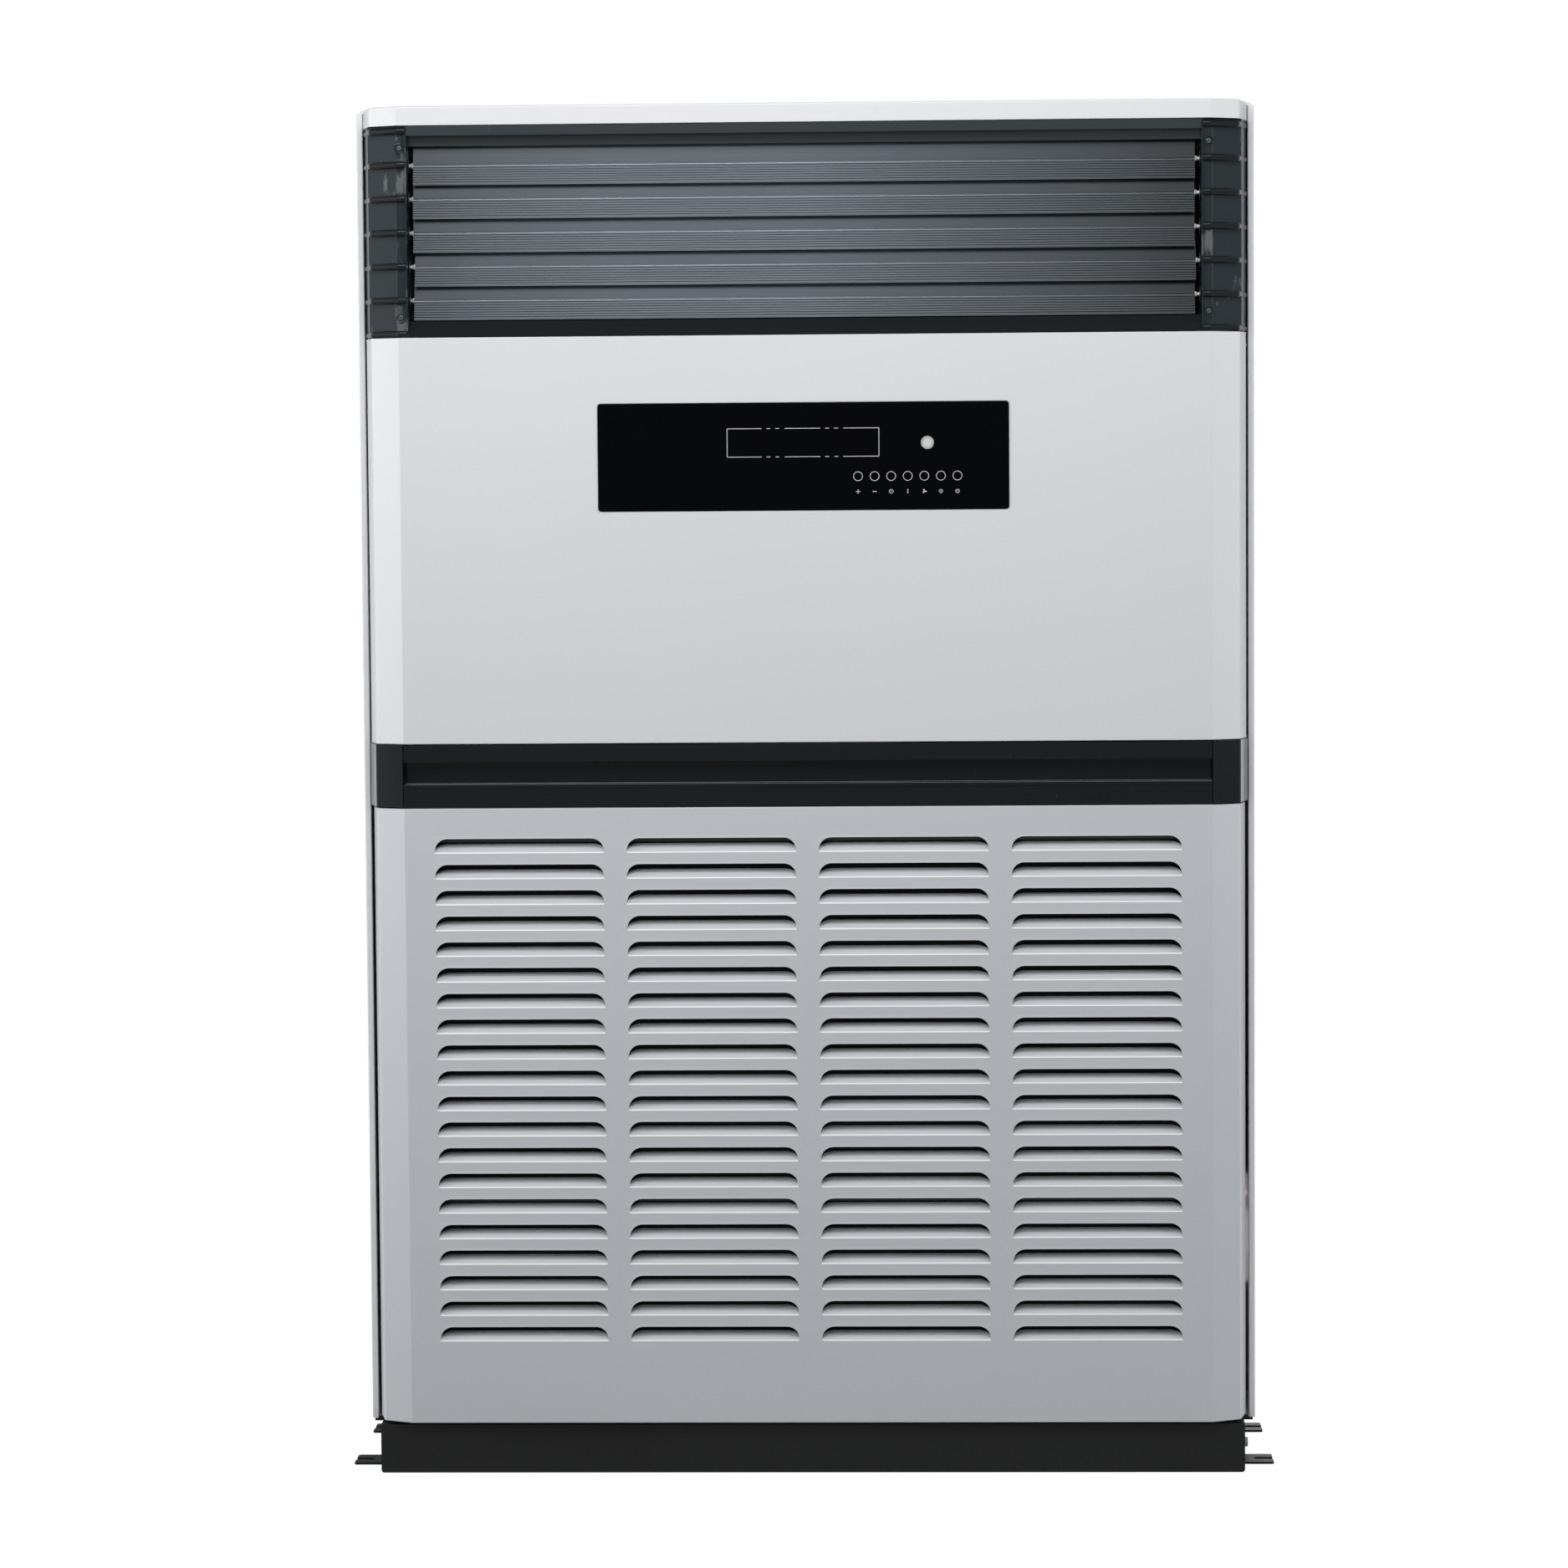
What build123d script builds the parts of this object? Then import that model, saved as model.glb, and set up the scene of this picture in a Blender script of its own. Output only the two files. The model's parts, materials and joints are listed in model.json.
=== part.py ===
"""Floor-standing air conditioner (cabinet indoor unit), millimetres, +Z up.

Origin: middle of the footprint, on the floor. The front faces -Y and +X is to the right of a
person who looks at the front. Depths ("d") count backwards from the front-most plane.
"""
from build123d import *
from math import cos, radians, sin
import os

# ---------------------------------------------------------------- overall sizes
WIDTH = 1200.0            # over the side panels
HEIGHT = 1835.0
DEPTH = 420.0
FRONT = -DEPTH / 2        # y of the front-most plane, the face of the display fascia
REAR = DEPTH / 2
SHEET = 1.5               # painted casing sheet
HEAVY = 2.0               # base and inner structure

# ---------------------------------------------------------------- levels, from the floor
BASE_TOP = 66.0
LOWER_Z = (70.6, 901.4)       # louvred intake panel
BAND_Z = (902.0, 986.0)       # black trim band
CAP_Z = (903.2, 987.1)        # its corner caps sit a little higher
UPPER_Z = (987.6, 1529.0)     # plain panel with the display
OUTLET_Z = (1529.4, 1809.0)   # air outlet
COVER_Z = 1809.6              # lower edge of the top cover
SIDE_Z = (65.0, 1831.0)       # side panels
DECK_Z = 977.0                # top of the fan deck
PLENUM_Z = 1514.0             # top of the plenum floor

# ---------------------------------------------------------------- plan outline of the front
PANEL_D = 1.0             # painted panels lie 1 mm behind the fascia
FLAT_X = 539.0            # half width of the flat front
FACET_X = 578.0           # where the slanted facet ends
FACET_D = 19.0
UPPER_REACH = 590.0       # half width at the rear end of the flared side
LOWER_REACH = 587.0
SIDE_D = 62.0             # depth of that rear end
HEM = 9.0                 # inward fold there
BEND = 5.0                # bend radius of the sheet
FLANGE = 15.0             # folds along the top and bottom of a panel

# ---------------------------------------------------------------- feet
FOOT_WIDTH = 52.0
FOOT_SHEET = 3.0
FOOT_TIP = 625.0
FOOT_ROOT = 556.0
FOOT_SLOT = (12.0, 26.0)      # width and length of the slot, open outwards
FOOT_DEPTHS = [83.0, 295.0]

# ---------------------------------------------------------------- side panels and rear
STRIP_D = 65.0            # front edge of the side panels
STRIP = 8.5               # width of their folded front edge
REAR_FLANGE = 14.0
SCREW_HEAD = 2.0
PANEL_REAR = REAR - SCREW_HEAD
SCREW_R = 1.9
SCREW_HOLE_R = 2.1
SCREW_HEAD_R = 3.8
REAR_SCREW_X = 592.0
REAR_SCREW_Z = [150, 470, 790, 1110, 1430, 1750]

# ---------------------------------------------------------------- louvres of the intake panel
SLOT = (227.3, 20.4)      # width and height of one louvre
SLOT_R = 17.5             # its two upper corners
SLOT_PITCH_X = 257.2
SLOT_PITCH_Z = 34.7
SLOT_TOP_Z = 860.9
SLOT_COLUMNS = 4
SLOT_ROWS = 20
FLAP_ANGLE = 58.0         # how far the flap is pressed in from the panel's plane
FLAP_SHEET = 1.2
FILTER = (535.0, 122.0, 868.0)     # half width, low and high edge
FILTER_D = (26.0, 36.0)

# ---------------------------------------------------------------- air outlet
OUTLET_X = 526.7          # inner wall of the outlet ends
RIB_PITCH = 44.75
RIB_COUNT = 7
RIB_TOP_Z = 1802.6
RIB = 9.2
VANE_COUNT = 5
VANE_X = 519.5            # half length of a vane
VANE_FLOAT = [-0.4, -0.9, -0.9, 0.7, -0.8]   # end play: how far each vane lies to one side
PIVOT_D = 30.0
VANE_UP = 26.6            # chord above and below the pivot
VANE_DOWN = 27.6
VANE_FACE = 3.0           # face in front of the pivot axis
VANE_SHEET = 2.2
VANE_TILT = 12.0          # closed vanes lean back, lower edge forward
FLUTES = 16
FLUTE_DEPTH = 0.6
PIN_R = 2.5
RUNNING = 0.08            # radial clearance of every running fit
CRANK = (5.0, 30.0)       # crank pin from the pivot: behind it and above it
CRANK_R = 2.0
CRANK_X = -490.0
BUSH_R = 4.0
BUSH_FLANGE_R = 10.75
SCREW_X = 536.3           # screws of the outlet ends
SCREW_ZS = [1780.0, 1556.0]
SCREW_STRIP_D = 8.0       # depth of the face they hold

# ---------------------------------------------------------------- swing blades behind the vanes
BLADE_COUNT = 6
BLADE_PITCH = 165.0
BLADE_D = (70.0, 118.0)
BLADE_PIVOT_D = 92.0
BLADE_Z = (1556.0, 1788.0)
BLADE_SHEET = 2.0
BLADE_CRANK_D = 112.0
THROAT_Z = (1549.0, 1795.5)
THROAT_D = 132.0
LINK_Z = (1577.0, 1581.0)

# ---------------------------------------------------------------- display
FASCIA = (546.0, 142.5)
FASCIA_X = -2.0
FASCIA_Z = 1367.8
FASCIA_SHEET = 3.0
LCD = (-102.9, 98.7, 1367.5, 1405.0)
LENS_X, LENS_Z, LENS_R = 163.0, 1385.0, 8.85
KEY_COUNT = 7
KEY_X = 70.7
KEY_PITCH = 22.0
KEY_Z = 1341.0
KEY_R = 6.25
BOARD_D = (13.6, 15.2)
KEY_NAMES = ["plus", "minus", "timer", "swing", "fan", "mode", "power"]

# ---------------------------------------------------------------- fan
SHAFT_D = 215.0
SHAFT_Z = 1240.0
SHAFT_R = 10.0
WHEEL_R = 120.0
WHEEL_LENGTH = 250.0
WHEEL_X = 265.0
WHEEL_BLADES = 36
HOUSING_LENGTH = 286.0
SCROLL_FRONT = 165.0      # scroll's reach in front of the shaft
SCROLL_MOUTH = 40.0       # how far its mouth reaches behind the shaft
BOX = ((-116.0, 116.0), (40.0, 120.0), (DECK_Z, 1262.0))    # electrical box: x, depth, z

# ---------------------------------------------------------------- coil
COIL_TILT = 18.0
COIL_FINS = 40
COIL_HALF = 505.0
COIL_THICK = 44.0
COIL_HEIGHT = 790.0
COIL_D = 225.0            # depth of its middle
END_MARGIN = (8.0, 10.0)  # how far the end plates reach past the fins, in depth and height
TUBE_R = 4.76
TUBE_WALL = 0.6
TUBE_ROWS = 2
TUBES_PER_ROW = 16
TUBE_PITCH = 48.0
ROW_PITCH = 22.0

# ---------------------------------------------------------------- connections
GAS_R = 14.29
LIQUID_R = 6.35
PIPE_WALL = 1.2
STUB_X = 552.0            # where the coil's tubes end, inside the pipes
GAS_X, LIQUID_X = 560.0, 553.0
GAS_Z, LIQUID_Z = 310.0, 235.0
PIPE_OPENING = (530.0, 586.0, 190.0, 345.0)     # x and z of the opening in the rear panel
DRAIN_R = 7.5
NOZZLE_R = 6.5
NOZZLE = (584.0, 594.0)
DRAIN_D, DRAIN_Z = 125.0, 18.5
DRAIN_X = 552.0
GLAND_X, GLAND_Z = 470.0, 235.0
CABLE_R = 8.0


# ================================================================ helpers
def at(depth):
    """y of a depth behind the front-most plane."""
    return FRONT + depth


def block(x, y, z):
    """A box from three (low, high) pairs."""
    size = (x[1] - x[0], y[1] - y[0], z[1] - z[0])
    return Pos((x[0] + x[1]) / 2, (y[0] + y[1]) / 2, (z[0] + z[1]) / 2) * Box(*size)


def rod(start, direction, radius, length):
    """A round bar from a start point along a direction."""
    plane = Plane(origin=start, z_dir=direction)
    return extrude(plane * Circle(radius), length)


def tube(start, direction, outer, inner, length):
    plane = Plane(origin=start, z_dir=direction)
    return extrude(plane * (Circle(outer) - Circle(inner)), length)


def pipe(path, radius, wall):
    """A round pipe along a path."""
    ring = Circle(radius) - Circle(radius - wall)
    return sweep(Plane(origin=path @ 0, z_dir=path % 0) * ring, path=path)


def mirrored(shape):
    """The left-hand copy of a right-hand part."""
    return mirror(shape, about=Plane.YZ)


def along_x(rectangles, x_low, x_high):
    """A bar along X whose section is a set of (d low, d high, z low, z high) rectangles."""
    section = Sketch()
    for d0, d1, z0, z1 in rectangles:
        section += Pos((at(d0) + at(d1)) / 2, (z0 + z1) / 2) * Rectangle(d1 - d0, z1 - z0)
    return extrude(Plane.YZ.offset(x_low) * section, x_high - x_low)


def front_outline(reach, hem=True):
    """Plan points of a front panel from its left rear end to its right rear end."""
    y_flat, y_facet, y_side = at(PANEL_D), at(PANEL_D + FACET_D), at(SIDE_D)
    right = [(FLAT_X, y_flat), (FACET_X, y_facet), (reach, y_side)]
    if hem:
        right.append((reach - HEM, y_side))
    return [(-x, y) for x, y in reversed(right)] + right


def bent_sheet(points, thickness, z_low, z_high, radius=BEND, side=Side.LEFT):
    """A sheet bent along a plan line, its thickness on the given side of the line."""
    line = FilletPolyline(*points, radius=radius)
    strip = Face(line.offset_2d(thickness, side=side, closed=True))
    return extrude(Pos(0, 0, z_low) * strip, z_high - z_low, dir=(0, 0, 1))


def front_plate(reach, z_low, z_high):
    """Everything inside the plan outline of a front panel, from z_low to z_high."""
    line = FilletPolyline(*front_outline(reach, hem=False), radius=BEND)
    closing = Line(line @ 1, line @ 0)
    plate = Face(Wire(line.edges() + closing.edges()))
    return extrude(Pos(0, 0, z_low) * plate, z_high - z_low, dir=(0, 0, 1))


def front_casing(reach, z_low, z_high):
    """Bent front panel with folds along its top and bottom, rounded at the folds."""
    wall = bent_sheet(front_outline(reach), SHEET, z_low, z_high)
    solid = front_plate(reach, z_low, z_high)
    inner = front_plate(reach - FLANGE, z_low - 1, z_high + 1)
    inner = inner - block((-WIDTH, WIDTH), (at(0), at(FLANGE + PANEL_D)), (z_low - 2, z_high + 2))
    ring = solid - inner - block((-WIDTH, WIDTH), (at(SIDE_D) - SHEET, at(DEPTH)), (z_low - 2, z_high + 2))
    middle = block((-WIDTH, WIDTH), (at(-1), at(DEPTH)), (z_low + SHEET, z_high - SHEET))
    casing = wall + (ring - middle)
    return rounded_folds(casing, z_low, z_high)


def rounded_folds(casing, z_low, z_high, radius=1.2):
    """Rounds the outer front edges of the top and bottom folds."""
    def outer(edge):
        middle = edge @ 0.5
        on_level = abs(middle.Z - z_low) < 0.01 or abs(middle.Z - z_high) < 0.01
        on_front = abs(middle.Y - at(PANEL_D)) < 0.01
        return on_level and on_front
    return fillet(casing.edges().filter_by(outer), radius)


def pan_screw(tip, direction, length):
    """Pan-head screw: the tip of the shank is at tip, the head lies along direction."""
    shank = rod(tip, direction, SCREW_R, length)
    seat = Vector(*tip) + Vector(*direction) * length
    head = rod(tuple(seat), direction, SCREW_HEAD_R, SCREW_HEAD)
    head = fillet(head.edges().filter_by(GeomType.CIRCLE).sort_by_distance(Vector(*tip))[-1:], 1.0)
    return shank + head


# ================================================================ base and feet
def base_frame():
    """Folded base: outer walls, a deck on top, an inward flange on the floor."""
    x, y = 583.0, (at(15), at(412))
    outer = block((-x, x), y, (0, BASE_TOP))
    low_sides = outer.edges().filter_by(Axis.Y).filter_by(lambda e: (e @ 0.5).Z < 1)
    outer = fillet(low_sides, 4.0)
    inside = block((-x + HEAVY, x - HEAVY), (y[0] + HEAVY, y[1] - HEAVY), (HEAVY, BASE_TOP - HEAVY))
    mouth = block((-x + 30, x - 30), (y[0] + 30, y[1] - 30), (-1, BASE_TOP / 2))
    frame = outer - inside - mouth
    for side in (-1, 1):
        ledge = block((582.0, 597.0), (at(STRIP_D + 2), at(405)), (61.0, SIDE_Z[0]))
        frame += ledge if side > 0 else mirrored(ledge)
    for x_mid, y_mid in foot_places():
        half = FOOT_WIDTH / 2 + 0.2
        gap = (HEAVY, HEAVY + FOOT_SHEET + 0.2)
        frame -= block((x_mid - 30, x_mid + 30), (y_mid - half, y_mid + half), gap)
    frame -= rod((DRAIN_X, at(DRAIN_D), BASE_TOP - 5), (0, 0, 1), DRAIN_R + 1, 10)
    frame -= rod((x - 10, at(DRAIN_D), DRAIN_Z), (1, 0, 0), DRAIN_R + 1, 20)
    return frame


def foot_places():
    """Where the feet pass through the side walls of the base."""
    return [(side * 583.0, at(d)) for side in (-1, 1) for d in FOOT_DEPTHS]


def anchor_feet():
    """Flat brackets with an open slot for a floor anchor."""
    corner = 2.5
    half = FOOT_WIDTH / 2
    outline = [(FOOT_ROOT, -half), (FOOT_TIP - corner, -half), (FOOT_TIP, -half + corner),
               (FOOT_TIP, half - corner), (FOOT_TIP - corner, half), (FOOT_ROOT, half)]
    plate = make_face(Polyline(*outline, close=True))
    slot_end = FOOT_TIP - FOOT_SLOT[1] + FOOT_SLOT[0] / 2
    plate -= Pos(slot_end + 20, 0) * Rectangle(40, FOOT_SLOT[0])
    plate -= Pos(slot_end, 0) * Circle(FOOT_SLOT[0] / 2)
    foot = extrude(Pos(0, 0, HEAVY) * plate, FOOT_SHEET)
    feet = []
    for d in FOOT_DEPTHS:
        right = Pos(0, at(d), 0) * foot
        feet += [right, mirrored(right)]
    return Compound(children=feet)


# ================================================================ casing
def side_panel():
    """Right side panel: rounded front strip, flat side, rear flange with screw holes."""
    x = WIDTH / 2
    points = [(x - STRIP, at(STRIP_D + 10)), (x - STRIP, at(STRIP_D)), (x, at(STRIP_D)),
              (x, PANEL_REAR), (x - REAR_FLANGE, PANEL_REAR)]
    panel = bent_sheet(points, SHEET, *SIDE_Z, radius=2.0)
    low = block((x - 12, x - 1), (at(STRIP_D + 14), PANEL_REAR - 4), (SIDE_Z[0], SIDE_Z[0] + SHEET))
    panel += low
    for z in REAR_SCREW_Z:
        panel -= rod((REAR_SCREW_X, PANEL_REAR - 5, z), (0, 1, 0), SCREW_HOLE_R, 10)
    return panel


def rear_panel():
    """Flat sheet with stiffening beads, the pipe opening and the cable hole."""
    y = PANEL_REAR - SHEET
    panel = block((-597, 597), (y - SHEET, y), (BASE_TOP, COVER_Z - 2))
    for z in range(420, 1700, 180):
        panel += bead(430.0, y, z)
    x0, x1, z0, z1 = PIPE_OPENING
    panel -= block((x0, x1), (y - 5, y + 5), (z0, z1))
    panel -= rod((GLAND_X, y - 5, GLAND_Z), (0, 1, 0), 12.0, 10)
    for z in REAR_SCREW_Z:
        for side in (-1, 1):
            panel -= rod((side * REAR_SCREW_X, y - 5, z), (0, 1, 0), SCREW_HOLE_R, 10)
    return panel


def bead(half_length, y, z):
    """A pressed bead: a low half-round rib with round ends."""
    body = rod((-half_length, y - 5.0, z), (1, 0, 0), 6.2, 2 * half_length)
    for side in (-1, 1):
        body += Pos(side * half_length, y - 5.0, z) * Sphere(6.2)
    return body - block((-WIDTH, WIDTH), (y - 50, y - 0.5), (z - 20, z + 20))


def top_cover():
    """Pressed lid whose lip follows the front; it lies between the side panels."""
    y_notch = at(STRIP_D + 12)
    x_wide = WIDTH / 2 - SHEET - 0.7
    half = [(FLAT_X, at(PANEL_D)), (FACET_X, at(PANEL_D + FACET_D)), (UPPER_REACH, at(SIDE_D)),
            (UPPER_REACH, y_notch), (x_wide, y_notch), (x_wide, PANEL_REAR - 4)]
    points = [(-x, y) for x, y in reversed(half)] + half
    plan = make_face(Polyline(*points, close=True))
    front = plan.vertices().filter_by(lambda v: v.Y < at(FACET_D + 5))
    plan = fillet(front, BEND)
    lid = extrude(Pos(0, 0, COVER_Z) * plan, HEIGHT - COVER_Z)
    top = lid.edges().filter_by(lambda e: abs((e @ 0.5).Z - HEIGHT) < 0.01)
    lid = fillet(top, 2.5)
    pocket = extrude(Pos(0, 0, COVER_Z - 1) * offset(plan, -SHEET), HEIGHT - COVER_Z + 1 - SHEET)
    return lid - pocket


def upper_front_panel():
    """Plain panel with the opening for the display fascia."""
    panel = front_casing(UPPER_REACH, *UPPER_Z)
    half_x, half_z = FASCIA[0] / 2 + 0.8, FASCIA[1] / 2 + 0.8
    window = Pos(FASCIA_X, FASCIA_Z) * RectangleRounded(2 * half_x, 2 * half_z, 4.8)
    return panel - extrude(Plane.XZ.offset(-at(-5)) * window, -20)


def louvre_shape():
    """Outline of one louvre: flat lower edge at y = 0, upper corners rounded."""
    width, height = SLOT
    face = Pos(0, height / 2) * Rectangle(width, height)
    return fillet(face.vertices().filter_by(lambda v: v.Y > height / 2), SLOT_R)


def louvre_places():
    """(x, z of the lower edge) of each louvre."""
    for column in range(SLOT_COLUMNS):
        x = (column - (SLOT_COLUMNS - 1) / 2) * SLOT_PITCH_X
        for row in range(SLOT_ROWS):
            yield x, SLOT_TOP_Z - SLOT[1] - row * SLOT_PITCH_Z


def lower_front_panel():
    """Intake panel: pressed louvres, and channels behind it that hold the filter."""
    panel = front_casing(LOWER_REACH, *LOWER_Z)
    shape = louvre_shape()
    slots, flaps = Sketch(), []
    flap_plane = Plane(origin=(0, at(PANEL_D + SHEET), 0), x_dir=(1, 0, 0),
                       z_dir=(0, -sin(radians(90 - FLAP_ANGLE)), sin(radians(FLAP_ANGLE))))
    flap = extrude(flap_plane * (Pos(0, -0.6) * shape), FLAP_SHEET)
    for x, z in louvre_places():
        slots += Pos(x, z) * shape
        flaps.append(Pos(x, 0, z) * flap)
    panel = panel - extrude(Plane.XZ.offset(-at(-4)) * slots, -12)
    panel = panel + flaps
    return panel + filter_channels()


def filter_channels():
    """Two upright channels and a lower ledge on the back of the intake panel."""
    x, z0, z1 = FILTER
    web = (PANEL_D + 1.0, FILTER_D[1] + 2.0)
    channels = []
    for side in (-1, 1):
        wall = block((x + 1, x + 2.5), (at(web[0] + 8), at(web[1])), (z0, z1))
        wall = block((x - 8, x + 2.5), (at(FILTER_D[1] + 0.5), at(web[1])), (z0, z1)) + wall
        foot = block((x + 1, x + 2.5), (at(PANEL_D + 1), at(web[1])), (z0 + 20, z0 + 60))
        top = block((x + 1, x + 2.5), (at(PANEL_D + 1), at(web[1])), (z1 - 60, z1 - 20))
        channel = wall + foot + top
        channels.append(channel if side > 0 else mirrored(channel))
    ledge = block((-x - 2.5, x + 2.5), (at(PANEL_D + 1), at(web[1])), (z0 - 2.5, z0 - 1))
    return channels + [ledge]


def air_filter():
    """Plastic frame with cross bars and a net."""
    x, z0, z1 = FILTER
    d0, d1 = FILTER_D
    border, columns, rows = 14.0, 15, 12
    frame = block((-x, x), (at(d0), at(d1)), (z0, z1))
    frame -= block((-x + border, x - border), (at(d0 - 1), at(d1 + 1)), (z0 + border, z1 - border))
    for i in range(1, 4):
        mid = -x + i * x / 2
        frame += block((mid - 3, mid + 3), (at(d0 + 2), at(d1 - 2)), (z0 + 2, z1 - 2))
    for i in range(1, 3):
        mid = z0 + i * (z1 - z0) / 3
        frame += block((-x + 2, x - 2), (at(d0 + 2), at(d1 - 2)), (mid - 3, mid + 3))
    cell_x = (2 * x - 2 * border) / columns
    cell_z = (z1 - z0 - 2 * border) / rows
    net = Pos(0, (z0 + z1) / 2) * Rectangle(2 * x - 4, z1 - z0 - 4)
    holes = [Pos(-x + border + (i + 0.5) * cell_x, z0 + border + (j + 0.5) * cell_z)
             * Rectangle(cell_x - 3, cell_z - 3) for i in range(columns) for j in range(rows)]
    net = net - holes
    net = extrude(Plane.XZ.offset(-at((d0 + d1) / 2)) * net, 0.8)
    return frame + net


def trim_band():
    """Moulded band with a finger groove and a bead under the groove."""
    z0, z1 = BAND_Z
    wall = 2.5
    groove = (933.5, 963.0)
    rectangles = [
        (2.0, 2.0 + wall, groove[1], z1), (2.0, 24.0, z1 - wall, z1),
        (2.0, 27.0, groove[1], groove[1] + wall), (27.0 - wall, 27.0, groove[0] - wall, groove[1] + wall),
        (1.2, 27.0, groove[0] - wall, groove[0]), (1.2, 3.0, groove[0] - 5.5, groove[0]),
        (2.0, 2.0 + wall, z0, groove[0]), (2.0, 24.0, z0, z0 + wall),
    ]
    return along_x(rectangles, -FLAT_X - 0.9, FLAT_X + 0.9)


def trim_cap():
    """Right corner cap of the band: wraps the slanted facet and the side."""
    z_low, z_high = CAP_Z
    proud = 0.9
    x = FLAT_X + 2.2
    points = [(x, at(PANEL_D - proud)), (FACET_X + 0.5, at(PANEL_D + FACET_D - proud)),
              (UPPER_REACH + 0.8, at(SIDE_D))]
    outer = bent_sheet(points, 2.2, z_low, z_high, radius=4.0)
    rear_y = (at(SIDE_D) - 2.2, at(SIDE_D) - 0.4)
    return outer + block((UPPER_REACH - 9, UPPER_REACH - 1.6), rear_y, (z_low + 3, z_high - 3))


# ================================================================ air outlet
def outlet_top_rail():
    z = OUTLET_Z[1]
    return along_x([(3, 5, z - 13, z), (3, 26, z - 13, z - 11), (24, 26, z - 25.5, z - 11),
                    (26, THROAT_D, THROAT_Z[1], THROAT_Z[1] + SHEET), (3, 60, z - SHEET, z)],
                   -OUTLET_X + 0.2, OUTLET_X - 0.2)


def outlet_bottom_rail():
    z = OUTLET_Z[0] + 0.6
    floor = THROAT_Z[0]
    return along_x([(3, 5, z, z + 12), (3, 16, z + 10, z + 12), (14, 16, z + 12, z + 21),
                    (14, THROAT_D, floor - SHEET, floor), (THROAT_D - 2, THROAT_D, PLENUM_Z, floor),
                    (3, 60, z, z + SHEET)],
                   -OUTLET_X + 0.2, OUTLET_X - 0.2)


def rib_heights():
    return [RIB_TOP_Z - i * RIB_PITCH for i in range(RIB_COUNT)]


def pivot_heights():
    return [z + 0.3 for z in rib_heights()[1:-1]]


def outlet_end():
    """Right outlet end: inner wall, recessed cover and rounded ribs across it."""
    z0, z1 = OUTLET_Z
    wall = block((OUTLET_X, OUTLET_X + 1.6), (at(PANEL_D), at(THROAT_D)), (z0, z1))
    points = [(OUTLET_X + 1, at(SCREW_STRIP_D)), (541.0, at(SCREW_STRIP_D)), (541.8, at(13)),
              (581.0, at(32)), (UPPER_REACH - 1.2, at(SIDE_D)), (UPPER_REACH - 9, at(SIDE_D))]
    cover = bent_sheet(points, 2.0, z0, z1, radius=0.6)
    end = wall + cover + [rib(z) for z in rib_heights()]
    for z in SCREW_ZS:
        boss = rod((SCREW_X, at(SCREW_STRIP_D + 1), z), (0, -1, 0), 6.6, 3.2)
        dish = rod((SCREW_X, at(SCREW_STRIP_D + 0.6), z), (0, -1, 0), 5.4, 5)
        end = end + boss - dish - rod((SCREW_X, at(0), z), (0, 1, 0), SCREW_HOLE_R, 15)
    for z in pivot_heights():
        end -= rod((OUTLET_X - 2, at(PIVOT_D), z), (1, 0, 0), BUSH_R, 8)
    return end


def rib(z):
    """One rib: its front follows the plan outline and is rounded."""
    outline = [(OUTLET_X + 0.4, at(PANEL_D)), (FLAT_X, at(PANEL_D)), (FACET_X, at(PANEL_D + FACET_D)),
               (UPPER_REACH, at(SIDE_D - 1)), (UPPER_REACH - 3, at(SIDE_D - 1)), (578.0, at(33)),
               (541.0, at(14.5)), (OUTLET_X + 0.4, at(9.5))]
    plan = make_face(Polyline(*outline, close=True))
    corners = plan.vertices().filter_by(lambda v: v.Y < at(FACET_D + 5) and v.X > FLAT_X - 1
                                        and v.Y < at(13) or abs(v.X - FACET_X) < 0.1 and v.Y < at(25))
    plan = fillet(corners, BEND)
    body = extrude(Pos(0, 0, z - RIB / 2) * plan, RIB)

    def nose(edge):
        middle = edge @ 0.5
        flat = abs(edge.bounding_box().size.Z) < 0.01
        return flat and outside(middle) and middle.X > OUTLET_X + 1
    return fillet(body.edges().filter_by(nose), RIB / 2 - 0.6)


def outside(point):
    """True on the front line of a rib."""
    if point.X < FLAT_X:
        return point.Y < at(PANEL_D + 0.5)
    if point.X < FACET_X - 1:
        share = (point.X - FLAT_X) / (FACET_X - FLAT_X)
        return point.Y < at(PANEL_D + 2 + share * FACET_D)
    share = (point.Y - at(PANEL_D + FACET_D)) / (SIDE_D - PANEL_D - FACET_D)
    return point.X > FACET_X - 2 + share * (UPPER_REACH - FACET_X) and point.Y < at(SIDE_D - 2)


def vane_bushes():
    """Flanged bearing bushes, one at each end of each vane."""
    bushes = []
    for z in pivot_heights():
        hub = tube((OUTLET_X - 0.8, at(PIVOT_D), z), (1, 0, 0), BUSH_R, PIN_R + RUNNING, 3.3)
        flange = tube((OUTLET_X - 1.6, at(PIVOT_D), z), (1, 0, 0), BUSH_FLANGE_R, PIN_R + RUNNING, 0.8)
        bush = hub + flange
        bushes += [bush, mirrored(bush)]
    return Compound(children=bushes)


def vane_section():
    """Fluted blade in front of its pivot axis, with a boss; local x is back, local y is up."""
    pitch = (VANE_UP + VANE_DOWN) / FLUTES
    face = [(-VANE_FACE + VANE_SHEET, -VANE_DOWN)]
    for i in range(FLUTES):
        low = -VANE_DOWN + i * pitch
        face += [(-VANE_FACE, low), (-VANE_FACE, low + 0.72 * pitch),
                 (-VANE_FACE + FLUTE_DEPTH, low + 0.86 * pitch)]
    face += [(-VANE_FACE, VANE_UP), (-VANE_FACE + VANE_SHEET, VANE_UP)]
    plate = make_face(Polyline(*face, close=True))
    return plate + Circle(4.2)


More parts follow.
